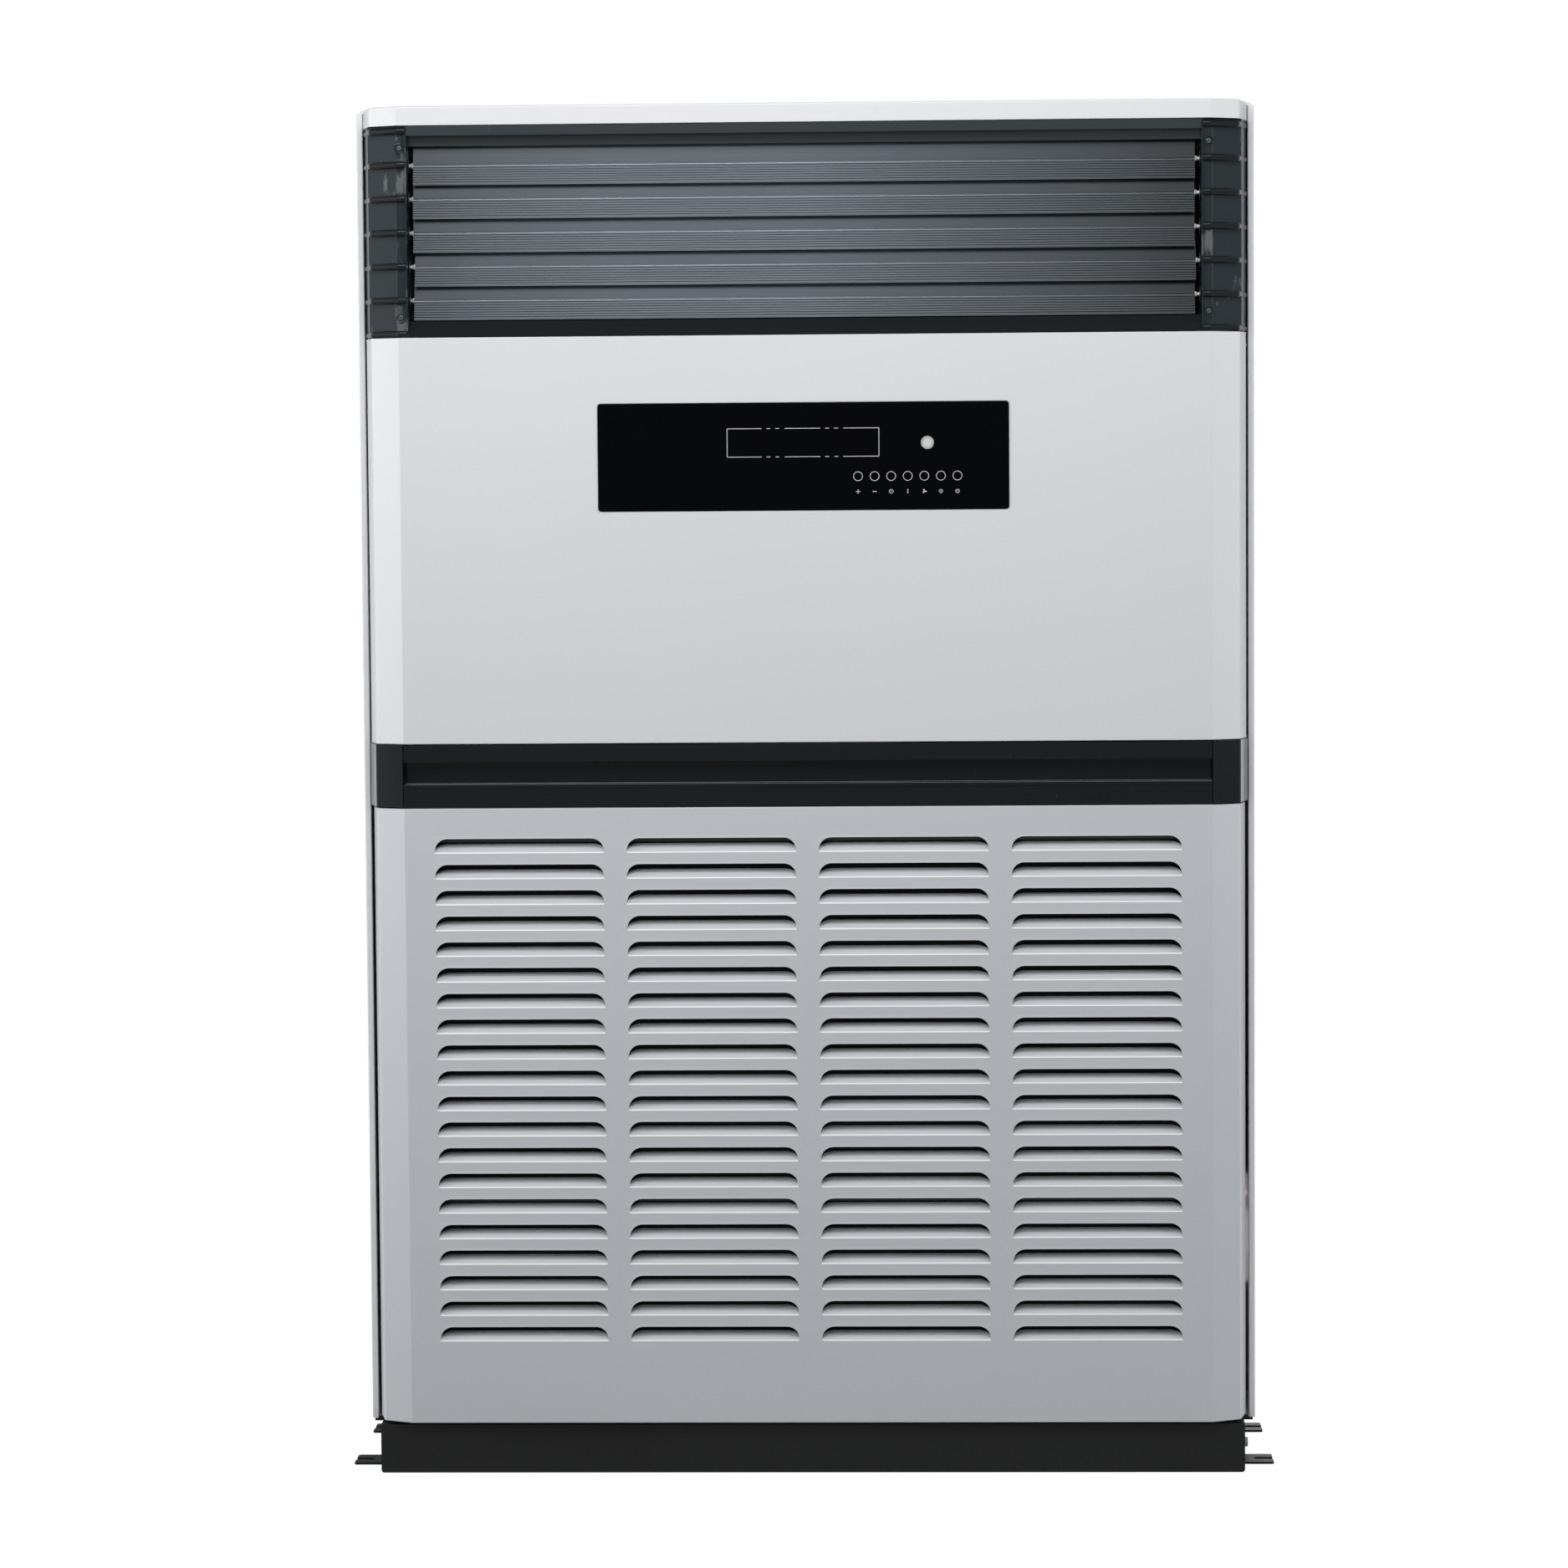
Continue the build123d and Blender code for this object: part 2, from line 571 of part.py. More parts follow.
def vane(number):
    """One vane with its two steel pivots and, near its left end, the crank of the linkage."""
    shift = VANE_FLOAT[number]
    body = extrude(Plane.YZ.offset(-VANE_X) * vane_section(), 2 * VANE_X)
    pieces = [body]
    for side in (-1, 1):
        collar = Pos(side * (VANE_X + 1.8), 0, 0) * Rot(Y=side * 90) * Cone(4.2, 2.9, 3.6)
        pin = rod((side * VANE_X, 0, 0), (side, 0, 0), PIN_R, 11.5)
        pieces.append(collar + pin)
    lug = [(-0.8, 8.0), (-0.8, 25.0), (CRANK[0] - 3.6, CRANK[1] + 3), (CRANK[0] + 3.6, CRANK[1] + 3),
           (CRANK[0] + 3.6, CRANK[1] - 3), (2.0, 8.0)]
    plate = extrude(Plane.YZ.offset(CRANK_X) * make_face(Polyline(*lug, close=True)), 1.6)
    pin = rod((CRANK_X + 1, CRANK[0], CRANK[1]), (1, 0, 0), CRANK_R, 6.0)
    pieces.append(Pos(-shift, 0, 0) * (plate + pin))
    place = Pos(shift, at(PIVOT_D), pivot_heights()[number]) * Rot(X=-VANE_TILT)
    return Compound(children=[place * piece for piece in pieces])


def crank_offset():
    """Crank pin from the vane's pivot in the closed pose: (y, z)."""
    back, up = CRANK
    lean = radians(VANE_TILT)
    return back * cos(lean) + up * sin(lean), up * cos(lean) - back * sin(lean)


def vane_link():
    """Flat bar that joins the crank pins; it runs on the first vane's pin."""
    dy, dz = crank_offset()
    heights = [z + dz for z in pivot_heights()]
    x = (CRANK_X + 2.2, CRANK_X + 5.2)
    y = at(PIVOT_D) + dy
    bar = block(x, (y - 3.4, y + 3.4), (heights[-1] - 5, heights[0] + 5))
    for number, z in enumerate(heights):
        play = RUNNING if number == 0 else 0.5
        bar -= rod((x[0] - 1, y, z), (1, 0, 0), CRANK_R + play, 6)
    return bar


def blade_places():
    return [(i - (BLADE_COUNT - 1) / 2) * BLADE_PITCH for i in range(BLADE_COUNT)]


def blade(x):
    """Upright swing blade with round ends on its pivots and a notch for the linkage."""
    z0, z1 = BLADE_Z
    half = BLADE_SHEET / 2
    body = block((x - half, x + half), (at(BLADE_D[0]), at(BLADE_D[1])), (z0, z1))
    corners = body.edges().filter_by(Axis.X).filter_by(lambda e: (e @ 0.5).Y < at(BLADE_D[0] + 1))
    body = fillet(corners, 14.0)
    notch = (LINK_Z[0] - 5, LINK_Z[1] + 5)
    body -= block((x - 5, x + 5), (at(BLADE_CRANK_D - 9), at(BLADE_D[1] + 1)), notch)
    body += rod((x, at(BLADE_CRANK_D), notch[0] - 1), (0, 0, 1), 2.0, notch[1] - notch[0] + 2)
    body += rod((x, at(BLADE_PIVOT_D), z1 - 6), (0, 0, 1), PIN_R, 6 + 6)
    body += rod((x, at(BLADE_PIVOT_D), z0 - 6), (0, 0, 1), PIN_R, 6 + 6)
    return body


def blade_rails():
    """Bars above and below the blades with their pivot holes."""
    d = (BLADE_PIVOT_D - 8, BLADE_PIVOT_D + 8)
    rails = []
    for z in ((THROAT_Z[0], BLADE_Z[0] - 1), (BLADE_Z[1] + 1, THROAT_Z[1])):
        bar = block((-OUTLET_X + 1, OUTLET_X - 1), (at(d[0]), at(d[1])), z)
        for x in blade_places():
            bar -= rod((x, at(BLADE_PIVOT_D), z[0] - 1), (0, 0, 1), PIN_R + RUNNING, z[1] - z[0] + 2)
        rails.append(bar)
    return Compound(children=rails)


def blade_link():
    """Flat bar that swings all blades together; it runs on the first blade's pin."""
    places = blade_places()
    bar = block((places[0] - 5, places[-1] + 5), (at(BLADE_CRANK_D - 4), at(BLADE_CRANK_D + 4)), LINK_Z)
    for number, x in enumerate(places):
        play = RUNNING if number == 0 else 0.5
        bar -= rod((x, at(BLADE_CRANK_D), LINK_Z[0] - 1), (0, 0, 1), 2.0 + play, 6)
    return bar


def swing_motor():
    """Small geared motor under the first blade; the blade's lower pivot is its output."""
    x, y = blade_places()[0], at(BLADE_PIVOT_D)
    top = THROAT_Z[0] - SHEET
    body = rod((x, y, top - 19), (0, 0, 1), 17.5, 19)
    ears = block((x - 24, x + 24), (y - 5, y + 5), (top - 1.5, top))
    return body + ears


# ================================================================ display
def key_places():
    return [KEY_X + i * KEY_PITCH for i in range(KEY_COUNT)]


def display_fascia():
    """Glossy plate with holes for the keys and the receiver lens."""
    plate = Pos(FASCIA_X, FASCIA_Z) * RectangleRounded(FASCIA[0], FASCIA[1], 4.0)
    plate -= [Pos(x, KEY_Z) * Circle(KEY_R + 0.25) for x in key_places()]
    plate -= Pos(LENS_X, LENS_Z) * Circle(LENS_R + 0.1)
    return extrude(Plane.XZ.offset(-at(0)) * plate, -FASCIA_SHEET)


def key_cap(x):
    """Round key with a retaining flange and a stem that presses its switch."""
    cap = rod((x, at(0.1), KEY_Z), (0, 1, 0), KEY_R, 3.6)
    flange = rod((x, at(3.4), KEY_Z), (0, 1, 0), KEY_R + 1.2, 1.2)
    stem = rod((x, at(4.0), KEY_Z), (0, 1, 0), 2.0, 5.3)
    cap = fillet(cap.edges().filter_by(GeomType.CIRCLE).sort_by(Axis.Y)[:1], 0.4)
    return cap + flange + stem


def receiver_lens():
    """Round translucent window for the remote control's receiver."""
    lens = rod((LENS_X, at(0.1), LENS_Z), (0, 1, 0), LENS_R, 2.9)
    return fillet(lens.edges().filter_by(GeomType.CIRCLE).sort_by(Axis.Y)[:1], 0.5)


def display_housing():
    """Tray behind the fascia; its rim is fixed to the back of the panel."""
    x = (FASCIA_X - FASCIA[0] / 2 - 8, FASCIA_X + FASCIA[0] / 2 + 8)
    z = (FASCIA_Z - FASCIA[1] / 2 - 8, FASCIA_Z + FASCIA[1] / 2 + 8)
    front, back = PANEL_D + SHEET, 34.0

    def inset(margin, d_low, d_high):
        return block((x[0] + margin, x[1] - margin), (at(d_low), at(d_high)), (z[0] + margin, z[1] - margin))

    tray = inset(0, front, front + 2) + inset(5, front, back)
    tray -= inset(7.5, front - 1, FASCIA_SHEET)
    tray -= inset(13, front - 1, FASCIA_SHEET + 3)
    tray -= inset(7.5, FASCIA_SHEET + 2, back - 2)
    posts = [rod((px, at(BOARD_D[1]), pz), (0, 1, 0), 4.0, back - BOARD_D[1] - 1)
             for px in (-100.0, 215.0) for pz in (1320.0, 1412.0)]
    return tray + posts


def display_board():
    """Circuit board with the key switches, the receiver and the LCD."""
    board = block((-112, 226), (at(BOARD_D[0]), at(BOARD_D[1])), (1312, 1420))
    front = at(BOARD_D[0])
    for x in key_places():
        board += block((x - 3, x + 3), (front - 2.4, front), (KEY_Z - 3, KEY_Z + 3))
        board += rod((x, front - 2.4, KEY_Z), (0, -1, 0), 1.7, 1.0)
    board += block((LENS_X - 3.5, LENS_X + 3.5), (front - 6, front), (LENS_Z - 4, LENS_Z + 4))
    x0, x1, z0, z1 = LCD
    lcd = block((x0 - 3, x1 + 3), (at(4.0), front), (z0 - 3, z1 + 3))
    return Compound(children=[board, lcd])


# ================================================================ fan
def wheel():
    """Double-inlet wheel with forward-curved blades, its middle at x = 0, its axis on X."""
    inner, half = WHEEL_R - 18, WHEEL_LENGTH / 2
    lead = radians(11)
    outer = WHEEL_R - 1
    arc = ThreePointArc((inner, 0), (WHEEL_R - 10, -3.5), (outer * cos(lead), outer * sin(lead)))
    vane_face = Face(arc.offset_2d(1.2, side=Side.LEFT, closed=True))
    one = extrude(Plane.YZ.offset(-half) * vane_face, 2 * half)
    blades = [Rot(X=i * 360 / WHEEL_BLADES) * one for i in range(WHEEL_BLADES)]
    disc = tube((-1.5, 0, 0), (1, 0, 0), WHEEL_R, SHAFT_R, 3)
    hub = tube((-20, 0, 0), (1, 0, 0), 22, SHAFT_R, 40)
    rings = [tube((x, 0, 0), (1, 0, 0), WHEEL_R, inner - 2, 3) for x in (-half, half - 3)]
    return disc + hub + rings + blades


def blower_wheels():
    one = wheel()
    place = [Pos(side * WHEEL_X, at(SHAFT_D), SHAFT_Z) for side in (-1, 1)]
    return Compound(children=[p * one for p in place])


def fan_shaft():
    return rod((-WHEEL_X - 45, at(SHAFT_D), SHAFT_Z), (1, 0, 0), SHAFT_R, 2 * (WHEEL_X + 45))


def scroll_face(inset):
    """Outline of the scroll in local y and z from the shaft, its mouth on top."""
    top = PLENUM_Z - HEAVY - SHAFT_Z + (20 if inset else 0)
    front, low, rear, tongue = (SCROLL_FRONT - inset, 158 - inset, 148 - inset, 132 - inset)
    mouth = SCROLL_MOUTH - inset
    k = 0.7071
    lines = [Line((-front, top), (-front, 0)),
             ThreePointArc((-front, 0), (-k * (front + low) / 2, -k * (front + low) / 2), (0, -low)),
             ThreePointArc((0, -low), (k * (low + rear) / 2, -k * (low + rear) / 2), (rear, 0)),
             ThreePointArc((rear, 0), (k * rear, k * (rear - 3)), (mouth, tongue)),
             Line((mouth, tongue), (mouth, top)), Line((mouth, top), (-front, top))]
    return make_face(Curve() + lines)


def blower_housings():
    """Sheet scrolls with an inlet ring on each side and the mouth in the plenum floor."""
    half = HOUSING_LENGTH / 2
    shell = extrude(Plane.YZ.offset(-half) * scroll_face(0), 2 * half)
    shell -= extrude(Plane.YZ.offset(-half + HEAVY) * scroll_face(HEAVY), 2 * (half - HEAVY))
    shell -= rod((-half - 5, 0, 0), (1, 0, 0), WHEEL_R - 22, 2 * half + 10)
    place = [Pos(side * WHEEL_X, at(SHAFT_D), SHAFT_Z) for side in (-1, 1)]
    return Compound(children=[p * shell for p in place])


def fan_motor():
    """Double-ended motor on its cradle."""
    body = rod((-72, 0, 0), (1, 0, 0), 70, 144)
    for i in range(24):
        body -= Rot(X=i * 15) * block((-60, 60), (66, 75), (-3, 3))
    body += rod((-92, 0, 0), (1, 0, 0), 34, 184)
    body -= rod((-95, 0, 0), (1, 0, 0), SHAFT_R + 0.06, 190)
    motor = Pos(0, at(SHAFT_D), SHAFT_Z) * body
    top, y = SHAFT_Z - 45, at(SHAFT_D)
    saddle = block((-60, 60), (y - 62, y + 62), (DECK_Z, top))
    saddle -= block((-70, 70), (y - 58, y + 58), (DECK_Z + 3, top + 1))
    saddle -= rod((-80, y, SHAFT_Z), (1, 0, 0), 70, 160)
    return Compound(children=[motor, saddle])


def shelf(top, front_d, holes):
    """Inner shelf between the side panels; its front is narrower."""
    z = (top - HEAVY, top)
    plate = block((-574, 574), (at(front_d), at(80)), z) + block((-598.3, 598.3), (at(79), PANEL_REAR - 4), z)
    for x, d in holes:
        plate -= block(x, (at(d[0]), at(d[1])), (z[0] - 1, z[1] + 1))
    return plate


def fan_deck():
    """Shelf under the fans; air rises through its openings."""
    air = (110.0, 385.0)
    return shelf(DECK_Z, 34.0, [((-560, -200), air), ((200, 560), air), ((-180, -75), air), ((75, 180), air)])


def plenum_floor():
    """Shelf that carries the scrolls; their mouths open through it."""
    half = HOUSING_LENGTH / 2 - HEAVY
    mouth = (SHAFT_D - SCROLL_FRONT + HEAVY, SHAFT_D + SCROLL_MOUTH - HEAVY)
    return shelf(PLENUM_Z, 20.0, [((s * WHEEL_X - half, s * WHEEL_X + half), mouth) for s in (-1, 1)])


def control_box():
    """Folded electrical box with its lid in front, on the fan deck."""
    x, d, z = BOX
    box = block(x, (at(d[0]), at(d[1])), z)
    box -= block((x[0] + 1.5, x[1] - 1.5), (at(d[0] + 1.5), at(d[1] - 1.5)), (z[0] + 1.5, z[1] - 1.5))
    vents = [block((x[1] - 5, x[1] + 5), (at(60), at(100)), (low, low + 4)) for low in range(1150, 1240, 12)]
    return box - vents


def control_board():
    """Main board with its parts, and the terminal block below it."""
    x, d, z = BOX
    board_d = d[1] - 12
    board = block((x[0] + 15, x[1] - 15), (at(board_d), at(board_d + 1.6)), (z[0] + 85, z[1] - 12))
    front = at(board_d)
    transformer = block((-94, -50), (front - 40, front), (1096, 1136))
    relays = [block((px, px + 26), (front - 20, front), (1094, 1120)) for px in (-20, 16, 52)]
    heat_sink = block((-92, -40), (front - 14, front), (1180, 1240))
    filter_box = block((52, 90), (front - 30, front), (1180, 1230))
    capacitors = [rod((px, front, 1170), (0, -1, 0), 11, 34) for px in (-14, 16)]
    parts = [transformer, heat_sink, filter_box] + relays + capacitors
    board = board + parts
    stand = [rod((px, at(board_d + 1.6), pz), (0, 1, 0), 3, 12 - 1.6 - 1.5)
             for px in (-92, 92) for pz in (1072, 1244)]
    board = board + stand
    terminals = block((-100, 100), (at(d[1] - 30), at(d[1] - 1.5)), (z[0] + 20, z[0] + 55))
    for i in range(8):
        px = -84 + 24 * i
        terminals -= block((px - 9, px + 9), (at(d[1] - 31), at(d[1] - 18)), (z[0] + 26, z[0] + 60))
    return Compound(children=[board, terminals])


# ================================================================ coil and pipes
def on_coil(shape):
    """Places a shape made upright about the coil's middle; the coil stands in the drain pan."""
    lean = radians(COIL_TILT)
    half_depth, half_height = COIL_THICK / 2 + END_MARGIN[0], COIL_HEIGHT / 2 + END_MARGIN[1]
    middle = BASE_TOP + SHEET + half_height * cos(lean) + half_depth * sin(lean)
    return Pos(0, at(COIL_D), middle) * Rot(X=-COIL_TILT) * shape


def tube_places():
    """(y, z) of each tube in the coil's own upright frame, one list for each row."""
    rows = []
    for row in range(TUBE_ROWS):
        y = (row - (TUBE_ROWS - 1) / 2) * ROW_PITCH
        rows.append([(y, (i - (TUBES_PER_ROW - 1) / 2) * TUBE_PITCH) for i in range(TUBES_PER_ROW)])
    return rows


def coil_plate(thickness, hole_r, thick=COIL_THICK, height=COIL_HEIGHT):
    """One holed plate of the coil, standing on x = 0."""
    face = Rectangle(thick, height)
    face -= [Pos(y, z) * Circle(hole_r) for row in tube_places() for y, z in row]
    return extrude(Plane.YZ * face, thickness)


def evaporator_fins():
    fin = coil_plate(0.6, TUBE_R)
    step = 2 * (COIL_HALF - 12) / (COIL_FINS - 1)
    places = [-COIL_HALF + 12 + i * step for i in range(COIL_FINS)]
    return Compound(children=[on_coil(Pos(x, 0, 0) * fin) for x in places])


def coil_end_plates():
    half_depth, half_height = COIL_THICK / 2 + END_MARGIN[0], COIL_HEIGHT / 2 + END_MARGIN[1]
    plate = coil_plate(SHEET, TUBE_R, 2 * half_depth, 2 * half_height)
    folds = [block((0, 14), (y, y + SHEET), (-half_height, half_height))
             for y in (-half_depth, half_depth - SHEET)]
    right = Pos(COIL_HALF, 0, 0) * (plate + folds)
    return Compound(children=[on_coil(right), on_coil(mirrored(right))])


def serpentine(row):
    """One row of tubes joined by return bends; its two ends reach the headers on the right."""
    run, turn = COIL_HALF + 8, TUBE_PITCH / 2
    y = row[0][0]
    edges, side = [], 1
    for number, (_, z) in enumerate(row):
        first, last = number == 0, number == len(row) - 1
        x_from = side * (STUB_X if first else run)
        x_to = -side * (STUB_X if last else run)
        edges.append(Line((x_from, y, z), (x_to, y, z)))
        if not last:
            middle = (x_to - side * turn, y, z + turn)
            edges.append(ThreePointArc((x_to, y, z), middle, (x_to, y, z + 2 * turn)))
        side = -side
    path = Wire([e.edge() for e in edges])
    return pipe(path, TUBE_R, TUBE_WALL)


def evaporator_tubes():
    return Compound(children=[on_coil(serpentine(row)) for row in tube_places()])


def drain_pan():
    """Tray under the coil with a hole over the drain."""
    x, d, z = (-568.0, 568.0), (66.0, 402.0), (BASE_TOP, 108.0)
    pan = block(x, (at(d[0]), at(d[1])), z)
    pan -= block((x[0] + SHEET, x[1] - SHEET), (at(d[0] + SHEET), at(d[1] - SHEET)), (z[0] + SHEET, z[1] + 1))
    return pan - rod((DRAIN_X, at(DRAIN_D), z[0] - 1), (0, 0, 1), DRAIN_R - 1.5, 5)


def drain_spout():
    """Elbow from the pan through the side of the base."""
    x, y = DRAIN_X, at(DRAIN_D)
    path = FilletPolyline((x, y, BASE_TOP), (x, y, DRAIN_Z), (NOZZLE[0], y, DRAIN_Z), radius=16)
    bore = NOZZLE_R - 1.5
    nozzle = tube((NOZZLE[0], y, DRAIN_Z), (1, 0, 0), NOZZLE_R, bore, NOZZLE[1] - NOZZLE[0])
    return pipe(path, DRAIN_R, DRAIN_R - bore) + nozzle


def tube_ends(number):
    """Where tube number of each row ends, on the right of the coil."""
    return [on_coil(Pos(STUB_X, *row[number]) * Sphere(1)).center() for row in tube_places()]


def refrigerant_pipes():
    """Gas header and liquid line, with sockets for the coil's tubes, up to the rear opening."""
    end = REAR - 3.0
    high, low = tube_ends(-1), tube_ends(0)
    y, z = (high[0].Y + high[1].Y) / 2, high[0].Z + 24
    gas = FilletPolyline((GAS_X, y, z), (GAS_X, y, GAS_Z), (GAS_X, end, GAS_Z), radius=45)
    along = (low[1] - low[0]).normalized()
    first, last = low[0] - along * 12, low[1] + along * 26
    liquid = FilletPolyline((LIQUID_X, first.Y, first.Z), (LIQUID_X, last.Y, last.Z), (LIQUID_X, 150, last.Z),
                            (LIQUID_X, 150, LIQUID_Z), (LIQUID_X, end, LIQUID_Z), radius=20)
    sockets = [rod((STUB_X - 20, p.Y, p.Z), (1, 0, 0), TUBE_R, 20) for p in high + low]
    cap = rod((GAS_X, y, z - 2), (0, 0, 1), GAS_R - PIPE_WALL, 2)
    return Compound(children=[
        pipe(gas, GAS_R, PIPE_WALL) + cap - sockets,
        pipe(liquid, LIQUID_R, PIPE_WALL) - sockets,
    ])


def cable_gland():
    """Nut, body and cap of the supply cable's gland in the rear panel."""
    y = PANEL_REAR - SHEET
    inner = extrude(Plane(origin=(GLAND_X, y - SHEET, GLAND_Z), z_dir=(0, -1, 0)) * RegularPolygon(16, 6), 6)
    body = rod((GLAND_X, y - 14, GLAND_Z), (0, 1, 0), 11.8, 14)
    cap = extrude(Plane(origin=(GLAND_X, y, GLAND_Z), z_dir=(0, 1, 0)) * RegularPolygon(16, 6), 3.0)
    return inner + body + cap - rod((GLAND_X, y - 20, GLAND_Z), (0, 1, 0), CABLE_R, 30)


def casing_screws():
    """Screws of the rear panel and of the outlet ends."""
    screws = []
    for side in (-1, 1):
        for z in REAR_SCREW_Z:
            screws.append(pan_screw((side * REAR_SCREW_X, PANEL_REAR - 9, z), (0, 1, 0), 9))
        for z in SCREW_ZS:
            screws.append(pan_screw((side * SCREW_X, at(SCREW_STRIP_D + 10), z), (0, -1, 0), 9.4))
    return Compound(children=screws)


# ================================================================ all nodes
def nodes():
    """Every sub-part by name."""
    right_side, right_end, right_cap = side_panel(), outlet_end(), trim_cap()
    parts = {
        "base_frame": base_frame(), "anchor_feet": anchor_feet(),
        "side_panel_left": mirrored(right_side), "side_panel_right": right_side,
        "rear_panel": rear_panel(), "top_cover": top_cover(),
        "upper_front_panel": upper_front_panel(), "lower_front_panel": lower_front_panel(),
        "air_filter": air_filter(), "trim_band": trim_band(),
        "trim_cap_left": mirrored(right_cap), "trim_cap_right": right_cap,
        "outlet_top_rail": outlet_top_rail(), "outlet_bottom_rail": outlet_bottom_rail(),
        "outlet_end_left": mirrored(right_end), "outlet_end_right": right_end,
        "vane_bushes": vane_bushes(), "vane_link": vane_link(),
        "blade_rails": blade_rails(), "blade_link": blade_link(), "swing_motor": swing_motor(),
        "display_fascia": display_fascia(), "display_housing": display_housing(),
        "display_board": display_board(), "receiver_lens": receiver_lens(),
        "blower_wheels": blower_wheels(), "blower_housings": blower_housings(),
        "fan_shaft": fan_shaft(), "fan_motor": fan_motor(),
        "fan_deck": fan_deck(), "plenum_floor": plenum_floor(),
        "control_box": control_box(), "control_board": control_board(),
        "evaporator_fins": evaporator_fins(), "coil_end_plates": coil_end_plates(),
        "evaporator_tubes": evaporator_tubes(), "drain_pan": drain_pan(),
        "drain_spout": drain_spout(), "refrigerant_pipes": refrigerant_pipes(),
        "cable_gland": cable_gland(), "casing_screws": casing_screws(),
    }
    for number in range(VANE_COUNT):
        parts[f"vane_{number + 1}"] = vane(number)
    for number, x in enumerate(blade_places()):
        parts[f"swing_blade_{number + 1}"] = blade(x)
    for name, x in zip(KEY_NAMES, key_places()):
        parts[f"key_{name}"] = key_cap(x)
    return parts


os.makedirs("parts", exist_ok=True)
for name, shape in nodes().items():
    shape.label = name
    export_step(shape, f"parts/{name}.step")
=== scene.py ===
"""Looks of the floor-standing air conditioner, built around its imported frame.

Metres, +Z up, the front faces -Y. Depths ("d") count backwards from the front-most plane.
"""
import json
import math

import bmesh
import bpy
from mathutils import Matrix, Vector

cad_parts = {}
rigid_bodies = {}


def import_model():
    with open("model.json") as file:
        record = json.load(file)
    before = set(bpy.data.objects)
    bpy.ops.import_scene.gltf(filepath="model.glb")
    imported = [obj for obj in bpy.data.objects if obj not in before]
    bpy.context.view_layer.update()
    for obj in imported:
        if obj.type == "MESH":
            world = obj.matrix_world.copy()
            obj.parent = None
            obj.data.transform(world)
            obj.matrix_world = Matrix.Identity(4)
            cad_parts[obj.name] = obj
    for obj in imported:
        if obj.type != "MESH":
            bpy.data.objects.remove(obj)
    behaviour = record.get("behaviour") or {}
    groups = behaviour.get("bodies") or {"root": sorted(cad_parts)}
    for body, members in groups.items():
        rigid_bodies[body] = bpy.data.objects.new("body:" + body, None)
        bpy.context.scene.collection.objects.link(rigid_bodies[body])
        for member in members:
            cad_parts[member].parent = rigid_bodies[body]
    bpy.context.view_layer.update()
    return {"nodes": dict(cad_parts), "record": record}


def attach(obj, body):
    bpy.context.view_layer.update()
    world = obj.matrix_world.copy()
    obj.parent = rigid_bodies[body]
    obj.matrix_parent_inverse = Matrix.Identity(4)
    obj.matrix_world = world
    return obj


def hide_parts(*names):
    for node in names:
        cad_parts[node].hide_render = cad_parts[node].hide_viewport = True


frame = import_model()
NODES = frame["nodes"]
MM = 0.001
FRONT = -0.210
LENS_X, LENS_Z = 163.0, 1385.0                # middle of the receiver lens, mm
RIB_Z, RIB_PITCH, RIB_WIDTH = 1802.6, 44.75, 9.2  # ribs of the outlet ends, from the top one, mm


def at(depth):
    """y of a depth in millimetres."""
    return FRONT + depth * MM


# ---------------------------------------------------------------- modelling helpers
def deselect():
    if bpy.context.object and bpy.context.object.mode != "OBJECT":
        bpy.ops.object.mode_set(mode="OBJECT")
    bpy.ops.object.select_all(action="DESELECT")


def activate(piece):
    """Makes the piece the active and only selected object."""
    deselect()
    piece.select_set(True)
    bpy.context.view_layer.objects.active = piece


def new_piece(name):
    """Names the object that an operator has just added."""
    piece = bpy.context.object
    piece.name = piece.data.name = name
    return piece


def edit(piece):
    """Opens the piece in edit mode, with nothing selected."""
    activate(piece)
    bpy.ops.object.mode_set(mode="EDIT")
    bpy.ops.mesh.select_all(action="DESELECT")


def done():
    bpy.ops.object.mode_set(mode="OBJECT")


def settle(piece):
    """Puts the piece's place into its mesh."""
    activate(piece)
    bpy.ops.object.transform_apply(location=True, rotation=True, scale=True)
    return piece


def pick(mode, test):
    """In edit mode, selects the verts, edges, open edges (BORDER) or faces that pass the test.

    An edge passes with both its ends; the test of a face gets its middle and its normal.
    """
    bpy.ops.mesh.select_all(action="DESELECT")
    bpy.ops.mesh.select_mode(type="EDGE" if mode == "BORDER" else mode)
    mesh = bmesh.from_edit_mesh(bpy.context.object.data)
    if mode == "VERT":
        for vert in mesh.verts:
            vert.select_set(test(vert.co))
    elif mode == "FACE":
        for face in mesh.faces:
            face.select_set(test(face.calc_center_median(), face.normal))
    else:
        for edge in mesh.edges:
            allowed = mode == "EDGE" or edge.is_boundary
            edge.select_set(allowed and all(test(vert.co) for vert in edge.verts))
    mesh.select_flush_mode()
    bmesh.update_edit_mesh(bpy.context.object.data)


def pick_all():
    bpy.ops.mesh.select_all(action="SELECT")


def pull(x=0.0, y=0.0, z=0.0):
    """Extrudes the selection by millimetres."""
    bpy.ops.mesh.extrude_region_move(TRANSFORM_OT_translate={"value": (x * MM, y * MM, z * MM)})


def scale_about(x, y, z, middle=(0, 0, 0)):
    """In edit mode, scales the selection about a point."""
    bpy.ops.transform.resize(value=(x, y, z), center_override=middle)


def join(pieces, name):
    """Joins pieces into the first one."""
    deselect()
    for piece in pieces:
        piece.select_set(True)
    bpy.context.view_layer.objects.active = pieces[0]
    bpy.ops.object.join()
    return new_piece(name)


